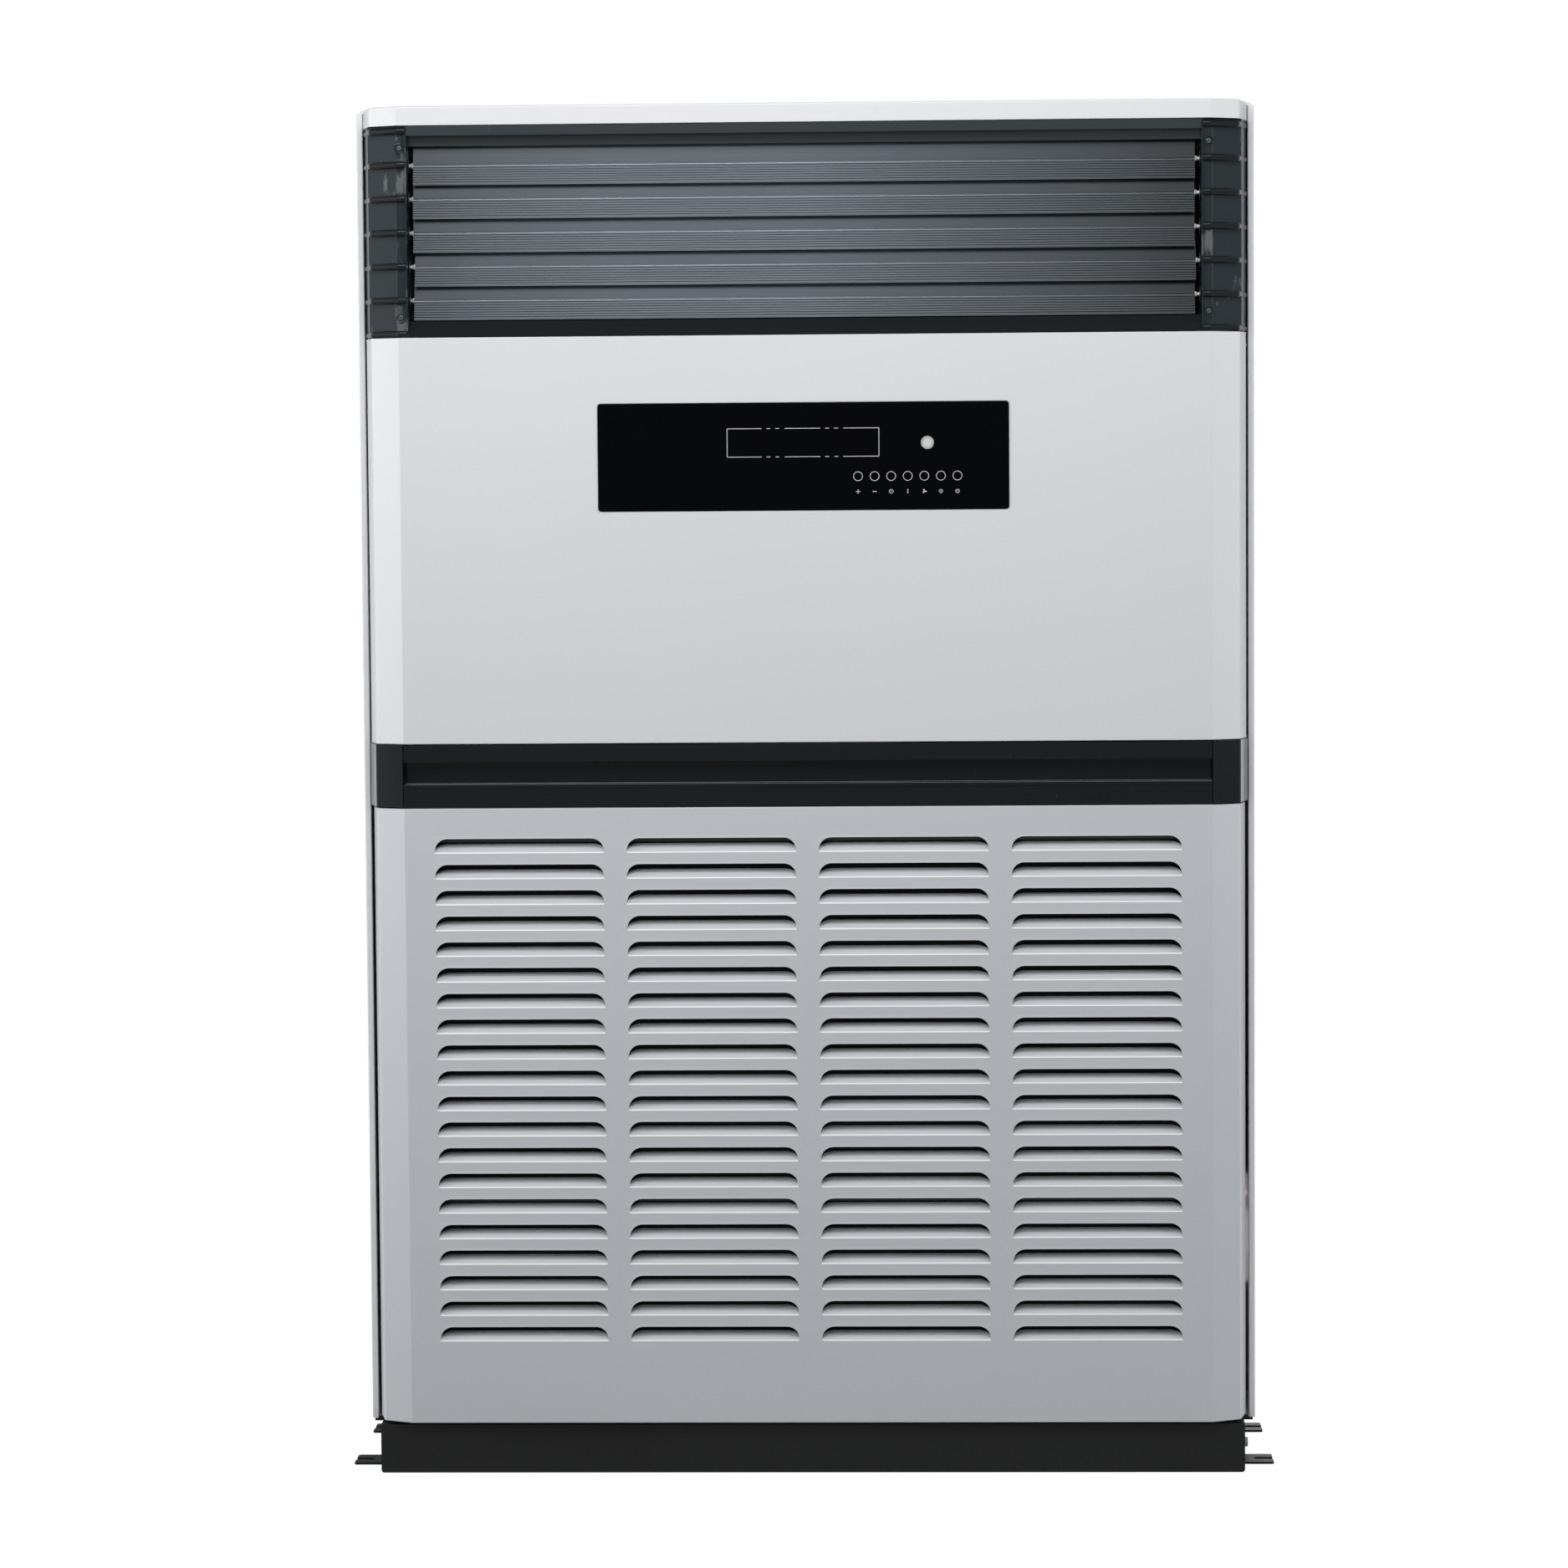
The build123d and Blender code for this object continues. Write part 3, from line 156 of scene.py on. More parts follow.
def copied(piece, name, x=0.0, y=0.0, z=0.0):
    """A copy with its own mesh, moved by millimetres inside the mesh."""
    other = piece.copy()
    other.data = piece.data.copy()
    other.name = other.data.name = name
    bpy.context.scene.collection.objects.link(other)
    other.data.transform(Matrix.Translation((x * MM, y * MM, z * MM)))
    return other


def merged(distance):
    """In edit mode, merges verts closer than so many millimetres."""
    pick_all()
    bpy.ops.mesh.remove_doubles(threshold=distance * MM)


def modified(piece, kind, **settings):
    """Adds a modifier and applies it."""
    activate(piece)
    modifier = piece.modifiers.new(kind.lower(), kind)
    for key, value in settings.items():
        setattr(modifier, key, value)
    bpy.ops.object.modifier_apply(modifier=modifier.name)


def softened(piece, width, angle=35, segments=2):
    """Rounds the sharp edges by so many millimetres."""
    modified(piece, "BEVEL", width=width * MM, segments=segments, limit_method="ANGLE",
             angle_limit=math.radians(angle), use_clamp_overlap=True)


def smooth(piece, angle=32):
    """Smooth shading over small angles that leaves the broad faces flat."""
    activate(piece)
    bpy.ops.object.shade_smooth_by_angle(angle=math.radians(angle))
    modified(piece, "WEIGHTED_NORMAL", keep_sharp=True)


def placed(piece, material, body, slot, *replaced):
    """Finishes a piece: its material, the body it rides on and the nodes it replaces; the slot
    argument is not used.
    """
    piece.data.materials.clear()
    piece.data.materials.append(material)
    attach(piece, body)
    if replaced:
        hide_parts(*replaced)


def painted(piece, material, test):
    """Gives the faces that pass the test a further material."""
    piece.data.materials.append(material)
    edit(piece)
    pick("FACE", test)
    piece.active_material_index = len(piece.data.materials) - 1
    bpy.ops.object.material_slot_assign()
    done()


# ---------------------------------------------------------------- shader groups
def group(name, inputs, outputs):
    """A new node group: its tree and its input and output nodes."""
    tree = bpy.data.node_groups.new(name, "ShaderNodeTree")
    for label, kind, value in inputs:
        socket = tree.interface.new_socket(label, in_out="INPUT", socket_type=f"NodeSocket{kind}")
        socket.default_value = value
    for label, kind in outputs:
        tree.interface.new_socket(label, in_out="OUTPUT", socket_type=f"NodeSocket{kind}")
    return tree, tree.nodes.new("NodeGroupInput"), tree.nodes.new("NodeGroupOutput")


def node(tree, kind, **settings):
    """A new shader node; each setting is an input socket's value or else a property."""
    made = tree.nodes.new(f"ShaderNode{kind}")
    for key, value in settings.items():
        if key in made.inputs:
            made.inputs[key].default_value = value
        else:
            setattr(made, key, value)
    return made


def link(tree, source, target):
    tree.links.new(source, target)


def maths(tree, operation, a, b=None, clamp=False):
    """Result of a Math node on sockets or numbers."""
    made = tree.nodes.new("ShaderNodeMath")
    made.operation, made.use_clamp = operation, clamp
    for socket, value in zip(made.inputs, (a, b)):
        if value is None:
            continue
        if isinstance(value, (int, float)):
            socket.default_value = value
        else:
            link(tree, value, socket)
    return made.outputs[0]


def place_of(tree, scale=(1, 1, 1)):
    """Object coordinates, stretched."""
    coordinates = tree.nodes.new("ShaderNodeTexCoord")
    mapping = node(tree, "Mapping")
    mapping.inputs["Scale"].default_value = scale
    link(tree, coordinates.outputs["Object"], mapping.inputs["Vector"])
    return mapping.outputs["Vector"]


def noise(tree, vector, scale, detail=2.0, roughness=0.5):
    """Noise value, 0 to 1."""
    made = node(tree, "TexNoise", Scale=scale, Detail=detail, Roughness=roughness)
    link(tree, vector, made.inputs["Vector"])
    return made.outputs["Fac"]


def ranged(tree, value, low, high, to_low=0.0, to_high=1.0):
    """The value mapped from low..high onto to_low..to_high."""
    made = node(tree, "MapRange")
    made.inputs["From Min"].default_value = low
    made.inputs["From Max"].default_value = high
    made.inputs["To Min"].default_value = to_low
    made.inputs["To Max"].default_value = to_high
    link(tree, value, made.inputs["Value"])
    return made.outputs["Result"]


def blended(tree, factor, first, second):
    """Colour mix of two colours or sockets."""
    made = tree.nodes.new("ShaderNodeMix")
    made.data_type = "RGBA"
    sockets = [s for s in made.inputs if s.type == "RGBA"]
    factor_socket = made.inputs[0]
    if isinstance(factor, (int, float)):
        factor_socket.default_value = factor
    else:
        link(tree, factor, factor_socket)
    for socket, value in zip(sockets, (first, second)):
        if isinstance(value, tuple):
            socket.default_value = value
        else:
            link(tree, value, socket)
    return [s for s in made.outputs if s.type == "RGBA"][0]


def make_coat_grain():
    """Fine orange peel of sprayed or powder paint, with a little unevenness of shade."""
    tree, given, out = group(
        "coat_grain",
        [("Color", "Color", (0.8, 0.8, 0.8, 1)), ("Shade", "Float", 0.04), ("Size", "Float", 900.0),
         ("Height", "Float", 0.15), ("Roughness", "Float", 0.4)],
        [("Color", "Color"), ("Roughness", "Float"), ("Normal", "Vector")])
    vector = place_of(tree)
    broad = noise(tree, vector, 2.2, 3.0)
    fine = tree.nodes.new("ShaderNodeTexNoise")
    fine.inputs["Detail"].default_value = 1.5
    link(tree, vector, fine.inputs["Vector"])
    link(tree, given.outputs["Size"], fine.inputs["Scale"])
    uneven = maths(tree, "SUBTRACT", broad, 0.5)
    value = maths(tree, "ADD", maths(tree, "MULTIPLY", uneven, given.outputs["Shade"]), 1.0)
    hue = node(tree, "HueSaturation")
    link(tree, value, hue.inputs["Value"])
    link(tree, given.outputs["Color"], hue.inputs["Color"])
    bump = node(tree, "Bump", Distance=0.00006)
    link(tree, given.outputs["Height"], bump.inputs["Strength"])
    link(tree, fine.outputs["Fac"], bump.inputs["Height"])
    rough = maths(tree, "ADD", given.outputs["Roughness"], maths(tree, "MULTIPLY", uneven, 0.12))
    link(tree, hue.outputs["Color"], out.inputs["Color"])
    link(tree, rough, out.inputs["Roughness"])
    link(tree, bump.outputs["Normal"], out.inputs["Normal"])
    return tree


def make_handling_marks():
    """Smears and specks of dust on glossy plastic: one mask for each."""
    tree, given, out = group("handling_marks", [("Smear", "Float", 0.55), ("Specks", "Float", 0.5)],
                             [("Smear", "Float"), ("Specks", "Float")])
    smear = noise(tree, place_of(tree, (1.0, 1.0, 0.45)), 42.0, 5.0, 0.62)
    patches = noise(tree, place_of(tree), 9.0, 2.0)
    edge = maths(tree, "SUBTRACT", 1.0, maths(tree, "MULTIPLY", given.outputs["Smear"], 0.5))
    height = maths(tree, "MULTIPLY", smear, maths(tree, "ADD", patches, 0.75))
    mask = maths(tree, "MULTIPLY", maths(tree, "SUBTRACT", height, edge), 9.0, clamp=True)
    cells = node(tree, "TexVoronoi", Scale=160.0, Randomness=1.0)
    link(tree, place_of(tree), cells.inputs["Vector"])
    dots = ranged(tree, cells.outputs["Distance"], 0.045, 0.02)
    some = ranged(tree, noise(tree, place_of(tree), 31.0, 1.0), 0.58, 0.66)
    dots = maths(tree, "MULTIPLY", dots, some)
    specks = maths(tree, "MULTIPLY", dots, given.outputs["Specks"], clamp=True)
    link(tree, mask, out.inputs["Smear"])
    link(tree, specks, out.inputs["Specks"])
    return tree


def make_drawn_lines():
    """Fine lines along X, as on extruded or brushed metal."""
    tree, given, out = group("drawn_lines", [("Lines", "Float", 1400.0), ("Height", "Float", 0.2)],
                             [("Fac", "Float"), ("Normal", "Vector")])
    lines = tree.nodes.new("ShaderNodeTexNoise")
    lines.inputs["Detail"].default_value = 2.0
    link(tree, place_of(tree, (0.004, 1, 1)), lines.inputs["Vector"])
    link(tree, given.outputs["Lines"], lines.inputs["Scale"])
    bump = node(tree, "Bump", Distance=0.00005)
    link(tree, given.outputs["Height"], bump.inputs["Strength"])
    link(tree, lines.outputs["Fac"], bump.inputs["Height"])
    link(tree, lines.outputs["Fac"], out.inputs["Fac"])
    link(tree, bump.outputs["Normal"], out.inputs["Normal"])
    return tree


COAT_GRAIN = make_coat_grain()
HANDLING_MARKS = make_handling_marks()
DRAWN_LINES = make_drawn_lines()


def linear(r, g, b):
    """Linear colour of an sRGB colour given as 0 to 255."""
    def one(value):
        value /= 255
        return value / 12.92 if value <= 0.04045 else ((value + 0.055) / 1.055) ** 2.4
    return (one(r), one(g), one(b), 1.0)


def shader(name, **sockets):
    """A material with plain values on its Principled BSDF."""
    material = bpy.data.materials.new(name)
    material.use_nodes = True
    tree = material.node_tree
    surface = tree.nodes["Principled BSDF"]
    for key, value in sockets.items():
        surface.inputs[key.replace("_", " ")].default_value = value
    return material, tree, surface


def used(tree, shared, **values):
    """A node that uses a shared group with these input values."""
    made = tree.nodes.new("ShaderNodeGroup")
    made.node_tree = shared
    for key, value in values.items():
        made.inputs[key].default_value = value
    return made


def coated(name, color, roughness, size, height, shade, **sockets):
    """Sprayed, powder-coated or grained surface."""
    material, tree, surface = shader(name, **sockets)
    grain = used(tree, COAT_GRAIN, Color=color, Size=size, Height=height, Shade=shade,
                 Roughness=roughness)
    link(tree, grain.outputs["Color"], surface.inputs["Base Color"])
    link(tree, grain.outputs["Roughness"], surface.inputs["Roughness"])
    link(tree, grain.outputs["Normal"], surface.inputs["Normal"])
    return material


def glossy_plastic(name, color, smear_color, roughness, specks, smear=0.3, **sockets):
    """Moulded glossy plastic with faint smears and dust."""
    material, tree, surface = shader(name, **sockets)
    grain = used(tree, COAT_GRAIN, Color=color, Size=260.0, Height=0.05, Shade=0.12,
                 Roughness=roughness)
    marks = used(tree, HANDLING_MARKS, Smear=smear, Specks=specks)
    smeared = blended(tree, marks.outputs["Smear"], grain.outputs["Color"], smear_color)
    dusty = blended(tree, marks.outputs["Specks"], smeared, linear(150, 155, 158))
    dulled = maths(tree, "MULTIPLY", marks.outputs["Smear"], 0.25)
    rough = maths(tree, "ADD", grain.outputs["Roughness"], dulled)
    link(tree, dusty, surface.inputs["Base Color"])
    link(tree, rough, surface.inputs["Roughness"])
    link(tree, grain.outputs["Normal"], surface.inputs["Normal"])
    return material


def drawn_metal(name, color, dark, roughness, lines=1400.0, height=0.2, **sockets):
    """Metal with fine lines along X."""
    material, tree, surface = shader(name, **sockets)
    drawn = used(tree, DRAWN_LINES, Lines=lines, Height=height)
    tone = blended(tree, ranged(tree, drawn.outputs["Fac"], 0.35, 0.65), dark, color)
    rough = ranged(tree, drawn.outputs["Fac"], 0.3, 0.7, roughness - 0.06, roughness + 0.06)
    link(tree, tone, surface.inputs["Base Color"])
    link(tree, rough, surface.inputs["Roughness"])
    link(tree, drawn.outputs["Normal"], surface.inputs["Normal"])
    return material


def opened(material):
    """Tree of a finished material, its base colour socket, what feeds that, and object X, Y, Z."""
    tree = material.node_tree
    base = tree.nodes["Principled BSDF"].inputs["Base Color"]
    source = base.links[0].from_socket
    axes = tree.nodes.new("ShaderNodeSeparateXYZ")
    link(tree, place_of(tree), axes.inputs[0])
    return tree, base, source, axes.outputs


def end_shaded_vane_finish(name, color, dark, end_shade, **settings):
    """Drawn metal with painted shade: darker towards the right end and a little at the left one,
    where the vanes reflect less of the lamps.
    """
    material = drawn_metal(name, color, dark, **settings)
    tree, base, source, axes = opened(material)
    right = ranged(tree, axes["X"], 0.0, 0.5, 0.0, 0.85)
    left = ranged(tree, axes["X"], -0.25, -0.52, 0.0, 0.35)
    link(tree, blended(tree, maths(tree, "ADD", right, left), source, end_shade), base)
    return material


def lens_window(name, color, dots):
    """Pale translucent window with fine dark dots that thicken towards its rim."""
    material, tree, surface = shader(name, Roughness=0.3)
    cells = node(tree, "TexVoronoi", Scale=720.0, Randomness=0.2)
    link(tree, place_of(tree), cells.inputs["Vector"])
    reach = node(tree, "VectorMath", operation="DISTANCE")
    link(tree, place_of(tree), reach.inputs[0])
    reach.inputs[1].default_value = (LENS_X * MM, at(0), LENS_Z * MM)
    dot = ranged(tree, cells.outputs["Distance"], 0.5, 0.4)
    rim = ranged(tree, reach.outputs["Value"], 0.004, 0.0085, 0.0, 0.9)
    mask = maths(tree, "MULTIPLY", dot, rim)
    link(tree, blended(tree, mask, color, dots), surface.inputs["Base Color"])
    return material


def outlet_plastic(name, rib_color, **settings):
    """Glossy plastic of the outlet ends: more marks by the screws, a deeper shade on the ribs."""
    material = glossy_plastic(name, **settings)
    tree, base, source, axes = opened(material)
    smear = ranged(tree, maths(tree, "ABSOLUTE", axes["X"]), 0.541, 0.543, 0.58, 0.36)
    marks = next(made for made in tree.nodes
                 if made.type == "GROUP" and made.node_tree == HANDLING_MARKS)
    link(tree, smear, marks.inputs["Smear"])
    below_top = maths(tree, "SUBTRACT", axes["Z"], RIB_Z * MM)
    turns = maths(tree, "DIVIDE", below_top, RIB_PITCH * MM)
    off = maths(tree, "ABSOLUTE", maths(tree, "SUBTRACT", maths(tree, "FRACT", turns), 0.5))
    edge = 0.5 - RIB_WIDTH / RIB_PITCH / 2
    mask = ranged(tree, off, edge, edge + 0.01)
    link(tree, blended(tree, mask, source, rib_color), base)
    return material


# ---------------------------------------------------------------- finishes
casing_paint = coated("casing_paint", linear(227, 229, 232), 0.3, size=700, height=0.1, shade=0.03)
# darker copy of the casing paint for the intake panel: painted shade, as on the lower front farther
# from the lamps
intake_shaded_paint = coated("intake_shaded_paint", linear(210, 214, 219), 0.34, size=700, height=0.1, shade=0.03)
# lighter copy of the intake paint for the flaps: painted light, as on faces turned up to the lamps
flap_lit_paint = coated("flap_lit_paint", linear(229, 233, 238), 0.34, size=700, height=0.1, shade=0.03)
# near-white glossy paint on the louvre folds: a painted highlight along each fold
fold_highlight_paint = coated("fold_highlight_paint", linear(252, 253, 254), 0.25, size=700, height=0.05, shade=0.02,
                    Specular_IOR_Level=0.6)
plinth_paint = coated("plinth_paint", linear(28, 29, 30), 0.55, size=1500, height=0.35, shade=0.2,
                      Specular_IOR_Level=0.15)
foot_paint = coated("foot_paint", linear(27, 32, 34), 0.6, size=1200, height=0.3, shade=0.3,
                    Specular_IOR_Level=0.05)
band_gloss = glossy_plastic("band_gloss", linear(19, 26, 29), linear(36, 43, 46), 0.16,
                            smear=0.15, specks=0.8, Specular_IOR_Level=0.1)
# pale gloss for the band's lower lip and the caps' outer sides: a painted highlight along those
# edges
edge_highlight_gloss = glossy_plastic("edge_highlight_gloss", linear(104, 112, 115), linear(84, 92, 95), 0.16,
                            smear=0.1, specks=0.3, Specular_IOR_Level=0.6)
outlet_gloss = outlet_plastic("outlet_gloss", linear(10, 18, 21), color=linear(31, 43, 48),
                              smear_color=linear(96, 101, 104), roughness=0.13, specks=1.0,
                              Specular_IOR_Level=0.18)
# lighter plastic for the top rail: painted reflection of the lighter surroundings above
top_rail_reflection_gloss = glossy_plastic("top_rail_reflection_gloss", linear(32, 42, 46), linear(60, 68, 72), 0.2,
                            smear=0.2, specks=1.0, Specular_IOR_Level=0.35)
display_gloss = glossy_plastic("display_gloss", linear(5, 6, 10), linear(10, 11, 15), 0.06,
                               smear=0.05, specks=0.1, Specular_IOR_Level=0.02)
# the third colour of each vane finish is the painted shade at the ends of the vanes
vane_metal = end_shaded_vane_finish("vane_metal", linear(112, 121, 128), linear(90, 99, 106),
                         linear(36, 43, 48), roughness=0.36, height=0.03, Specular_IOR_Level=0.2)
# near-white metal along the ridge of each vane: a painted highlight
vane_ridge_highlight = end_shaded_vane_finish("vane_ridge_highlight", linear(212, 217, 221), linear(184, 190, 195),
                               linear(70, 76, 80), roughness=0.3, height=0.03)
vane_upper_metal = end_shaded_vane_finish("vane_upper_metal", linear(88, 97, 104), linear(78, 87, 94),
                               linear(26, 33, 38), roughness=0.36, height=0.03,
                               Specular_IOR_Level=0.12)
print_white = coated("print_white", linear(232, 232, 230), 0.5, size=2500, height=0.2, shade=0.1)
zinc_sheet = drawn_metal("zinc_sheet", linear(176, 178, 180), linear(150, 152, 154), 0.35,
                         lines=500.0, Metallic=1.0)
turned_steel = drawn_metal("turned_steel", linear(234, 236, 238), linear(220, 222, 224), 0.25,
                           lines=900.0, Metallic=0.35)
blackened_steel = drawn_metal("blackened_steel", linear(92, 96, 99), linear(60, 64, 67), 0.25,
                              lines=2500.0, Metallic=0.9)
copper_tube = drawn_metal("copper_tube", linear(206, 133, 98), linear(176, 104, 72), 0.28,
                          lines=700.0, Metallic=1.0)
fin_metal = drawn_metal("fin_metal", linear(205, 207, 209), linear(186, 188, 190), 0.32,
                        lines=900.0, Metallic=1.0)
dark_nylon = coated("dark_nylon", linear(30, 31, 33), 0.5, size=1800, height=0.25, shade=0.2)
blade_plastic = coated("blade_plastic", linear(44, 47, 50), 0.45, size=1500, height=0.2, shade=0.15)
lens_dots = lens_window("lens_dots", linear(214, 215, 214), linear(50, 52, 56))
pale_plastic = coated("pale_plastic", linear(214, 212, 206), 0.45, size=1500, height=0.2,
                      shade=0.08)
filter_mesh = coated("filter_mesh", linear(20, 23, 21), 0.6, size=1300, height=0.4, shade=0.25,
                     Specular_IOR_Level=0.1)
board_lacquer = coated("board_lacquer", linear(28, 92, 56), 0.3, size=500, height=0.1, shade=0.15)
motor_paint = coated("motor_paint", linear(84, 87, 90), 0.4, size=900, height=0.3, shade=0.1)

FINISH = {
    "casing_white": casing_paint, "band_black": band_gloss, "plinth_dark": plinth_paint,
    "foot_steel": foot_paint, "outlet_dark": outlet_gloss, "vane_grey": vane_metal,
    "blade_dark": blade_plastic, "display_black": display_gloss, "lens_smoke": lens_dots,
    "white_plastic": pale_plastic, "filter_net": filter_mesh, "zinc_steel": zinc_sheet,
    "steel_bright": turned_steel, "copper": copper_tube, "fin_aluminium": fin_metal,
    "board_green": board_lacquer, "motor_grey": motor_paint, "nylon_black": dark_nylon,
}
for entry in frame["record"]["subparts"]:
    cad = NODES[entry["node"]]
    cad.data.materials.clear()
    cad.data.materials.append(FINISH[entry["material_slot"]])
# the rails, of one plastic, take different colours: a painted reflection, darker on the bottom rail
# and lighter on the top rail
NODES["outlet_bottom_rail"].data.materials[0] = band_gloss
NODES["outlet_top_rail"].data.materials[0] = top_rail_reflection_gloss


# ---------------------------------------------------------------- sizes shared by the pieces, mm
# the intake panel, with half widths (X) and depths (D) of its flat front, facets and side walls
PANEL_D, SHEET = 1.0, 1.5                     # depth of the front sheets and their thickness
LOWER_Z = (70.6, 901.4)
FLAT_X, FACET_X, SIDE_X = 539.0, 578.0, 587.0
FACET_D, SIDE_D = 20.0, 62.0
BENDS = ((FLAT_X, 1.15), (FACET_X, 2.4))      # where the sheet bends and how wide each bend is
FLANGE, HEM = 14.0, 9.0                       # folds at the ends, hems at the sides
# its louvres
SLOT_W, SLOT_H, SLOT_R = 227.3, 20.4, 17.5    # the opening and its upper corners
PITCH_X, PITCH_Z, COLUMNS, ROWS = 257.2, 34.7, 4, 20
TOP_FOLD_Z, TILE_LOW = 840.5, 10.3            # highest fold line; what a tile has below its fold
LIP_W, LIP_H = 1.0, 0.45
FLAP_ANGLE, FOLD_R, FOLD_D = math.radians(58), 2.6, 1.6
# the filter
FILTER_X, FILTER_Z, FILTER_D = 535.0, (122.0, 868.0), (26.0, 36.0)
RIM_W, BAR_HALF, NET_D = 14.0, 3.0, 4.5       # rim, half a bar, how deep the net lies
BAR_X = (-FILTER_X / 2, 0, FILTER_X / 2)
BAR_Z = [FILTER_Z[0] + (FILTER_Z[1] - FILTER_Z[0]) * i / 3 for i in (1, 2)]
# a vane about its pivot: reach to each side, up and down, faces in front of the pivot
VANE_X, VANE_UP, VANE_DOWN, VANE_FACE, VANE_BACK = 519.5, 26.6, 27.6, 3.0, 0.8
RIDGE = ((1.4, 0.0), (1.0, -0.8), (0.0, -0.9), (-0.3, 1.6), (-1.2, 1.6))  # heights and depths
BUMPS, BUMP_Z, BUMP_PITCH, BUMP_H = 5, 4.4, 4.2, 0.12  # faint lines above the ridge
REEDS, REED_PITCH = 8, 3.3                    # below the ridge
VANE_D, VANE_LEAN = 30.0, math.radians(12)
VANE_Z = (1758.15, 1713.4, 1668.65, 1623.9, 1579.15)
VANE_FLOAT = (-0.4, -0.9, -0.9, 0.7, -0.8)    # how far off its place each vane hangs, along x
# the display
LCD = (-102.9, 98.7, 1367.5, 1405.0)          # its outline: x and z, low and high
LCD_LINE = 0.35                               # half the width of the outline
KEYS = ("plus", "minus", "timer", "swing", "fan", "mode", "power")
KEY_X, KEY_PITCH, KEY_Z, LABEL_Z = 70.7, 22.0, 1341.0, 1320.7
RING_R, RING_W = 6.25, 0.65                   # the printed ring of a key
PRINT, PRINT_D, KEY_PRINT_D = 0.06, -0.01, 0.05  # thickness and depths of the prints
# screws and casing
HEAD_R, HEAD_H, SHANK_R, SHANK = 3.8, 2.0, 1.9, 7.4
FRONT_SCREW_X, FRONT_SCREW_D, FRONT_SCREW_Z = 536.3, 8.6, (1556.0, 1780.0)
REAR_SCREW_X, REAR_SCREW_Y, REAR_SCREW_Z = 592.0, 208.0, range(150, 1751, 320)
COVER_LIP_Y, COVER_LIP_Z = 202.0, 1810.2      # the cover's rear lip lies behind and below these
COVER_LAP = 4.0                               # by how much the scene lengthens that lip
GROOVE_Z = 935.0                              # the painted highlight on the trim band's lower lip lies below this
FLOOR_SIZE, FLOOR_GLOW, FLOOR_SHARE = 24, 1.06, 0.94  # width in metres; the floor's own light
CAMERA = (0.1615, FRONT - 6.0734, 1.3095)     # metres
FOCAL, FRAME = 5457.0, 1875.0                 # focal length and picture width, pixels
YAW, PITCH, ROLL = (math.radians(angle) for angle in (-1.812, 3.554, 0.423))


def near(value, target, slack=0.05):
    """True if a length in metres is the target in millimetres."""
    return abs(value / MM - target) < slack


def sheet(name, x, z, depth):
    """A flat rectangle that faces the front, from (low, high) pairs."""
    deselect()
    bpy.ops.mesh.primitive_plane_add(size=1, rotation=(math.radians(90), 0, 0), location=(
        (x[0] + x[1]) / 2 * MM, at(depth), (z[0] + z[1]) / 2 * MM))
    piece = new_piece(name)
    piece.scale = ((x[1] - x[0]) * MM, (z[1] - z[0]) * MM, 1)
    return settle(piece)


def slab(name, x, depth, z):
    """A box from (low, high) pairs."""
    deselect()
    bpy.ops.mesh.primitive_cube_add(size=1, location=(
        (x[0] + x[1]) / 2 * MM, (at(depth[0]) + at(depth[1])) / 2, (z[0] + z[1]) / 2 * MM))
    piece = new_piece(name)
    piece.scale = ((x[1] - x[0]) * MM, (depth[1] - depth[0]) * MM, (z[1] - z[0]) * MM)
    return settle(piece)


# ---------------------------------------------------------------- intake panel
def outline_of(piece):
    """Deletes the faces of a flat piece and keeps its edges."""
    edit(piece)
    pick_all()
    bpy.ops.mesh.delete(type="ONLY_FACE")
    done()
    return piece


def louvre_tile():
    """One pressed louvre in a rectangle of sheet, its fold line at z = 0."""
    half, height = SLOT_W / 2 + LIP_W, SLOT_H + LIP_W
    opening = sheet("louvre_tile", (-half, half), (0, height), PANEL_D)
    edit(opening)
    pick("VERT", lambda p: near(p.z, height))
    bpy.ops.mesh.bevel(affect="VERTICES", offset=SLOT_R * MM, segments=9)
    done()
    edge = sheet("louvre_edge", (-PITCH_X / 2, PITCH_X / 2), (-TILE_LOW, PITCH_Z - TILE_LOW),
                 PANEL_D)
    tile = join([outline_of(opening), outline_of(edge)], "louvre_tile")
    edit(tile)
    pick_all()
    bpy.ops.mesh.bridge_edge_loops()
    pick_all()
    bpy.ops.mesh.normals_make_consistent(inside=False)
    fold_louvre(half)
    press_lip(half, height)
    done()
    return tile


def fold_louvre(half):
    """In edit mode, spins the opening's lower edge into a fold and pulls the flap out of it."""
    pick("EDGE", lambda p: near(p.z, 0) and abs(p.x) / MM < half + 0.1)
    bpy.ops.mesh.spin(steps=5, angle=FLAP_ANGLE, axis=(1, 0, 0),
                      center=(0, at(PANEL_D + FOLD_R), 0))
    length = SLOT_H - FOLD_R * math.tan(FLAP_ANGLE / 2)
    pull(y=length * math.sin(FLAP_ANGLE), z=length * math.cos(FLAP_ANGLE))
    scale_about(SLOT_W / 2 / half, 1, 1)
    bpy.ops.mesh.bevel(affect="VERTICES", offset=(SLOT_R - 0.2) * MM, segments=9)


def press_lip(half, height):
    """In edit mode, draws the rim of the opening inwards and a little forward."""
    pick("BORDER", lambda p: near(p.y, at(PANEL_D) / MM) and -0.05 < p.z / MM < height + 0.1
         and abs(p.x) / MM < half + 0.1)
    pull(y=-LIP_H)
    scale_about(SLOT_W / 2 / half, 1, SLOT_H / height)


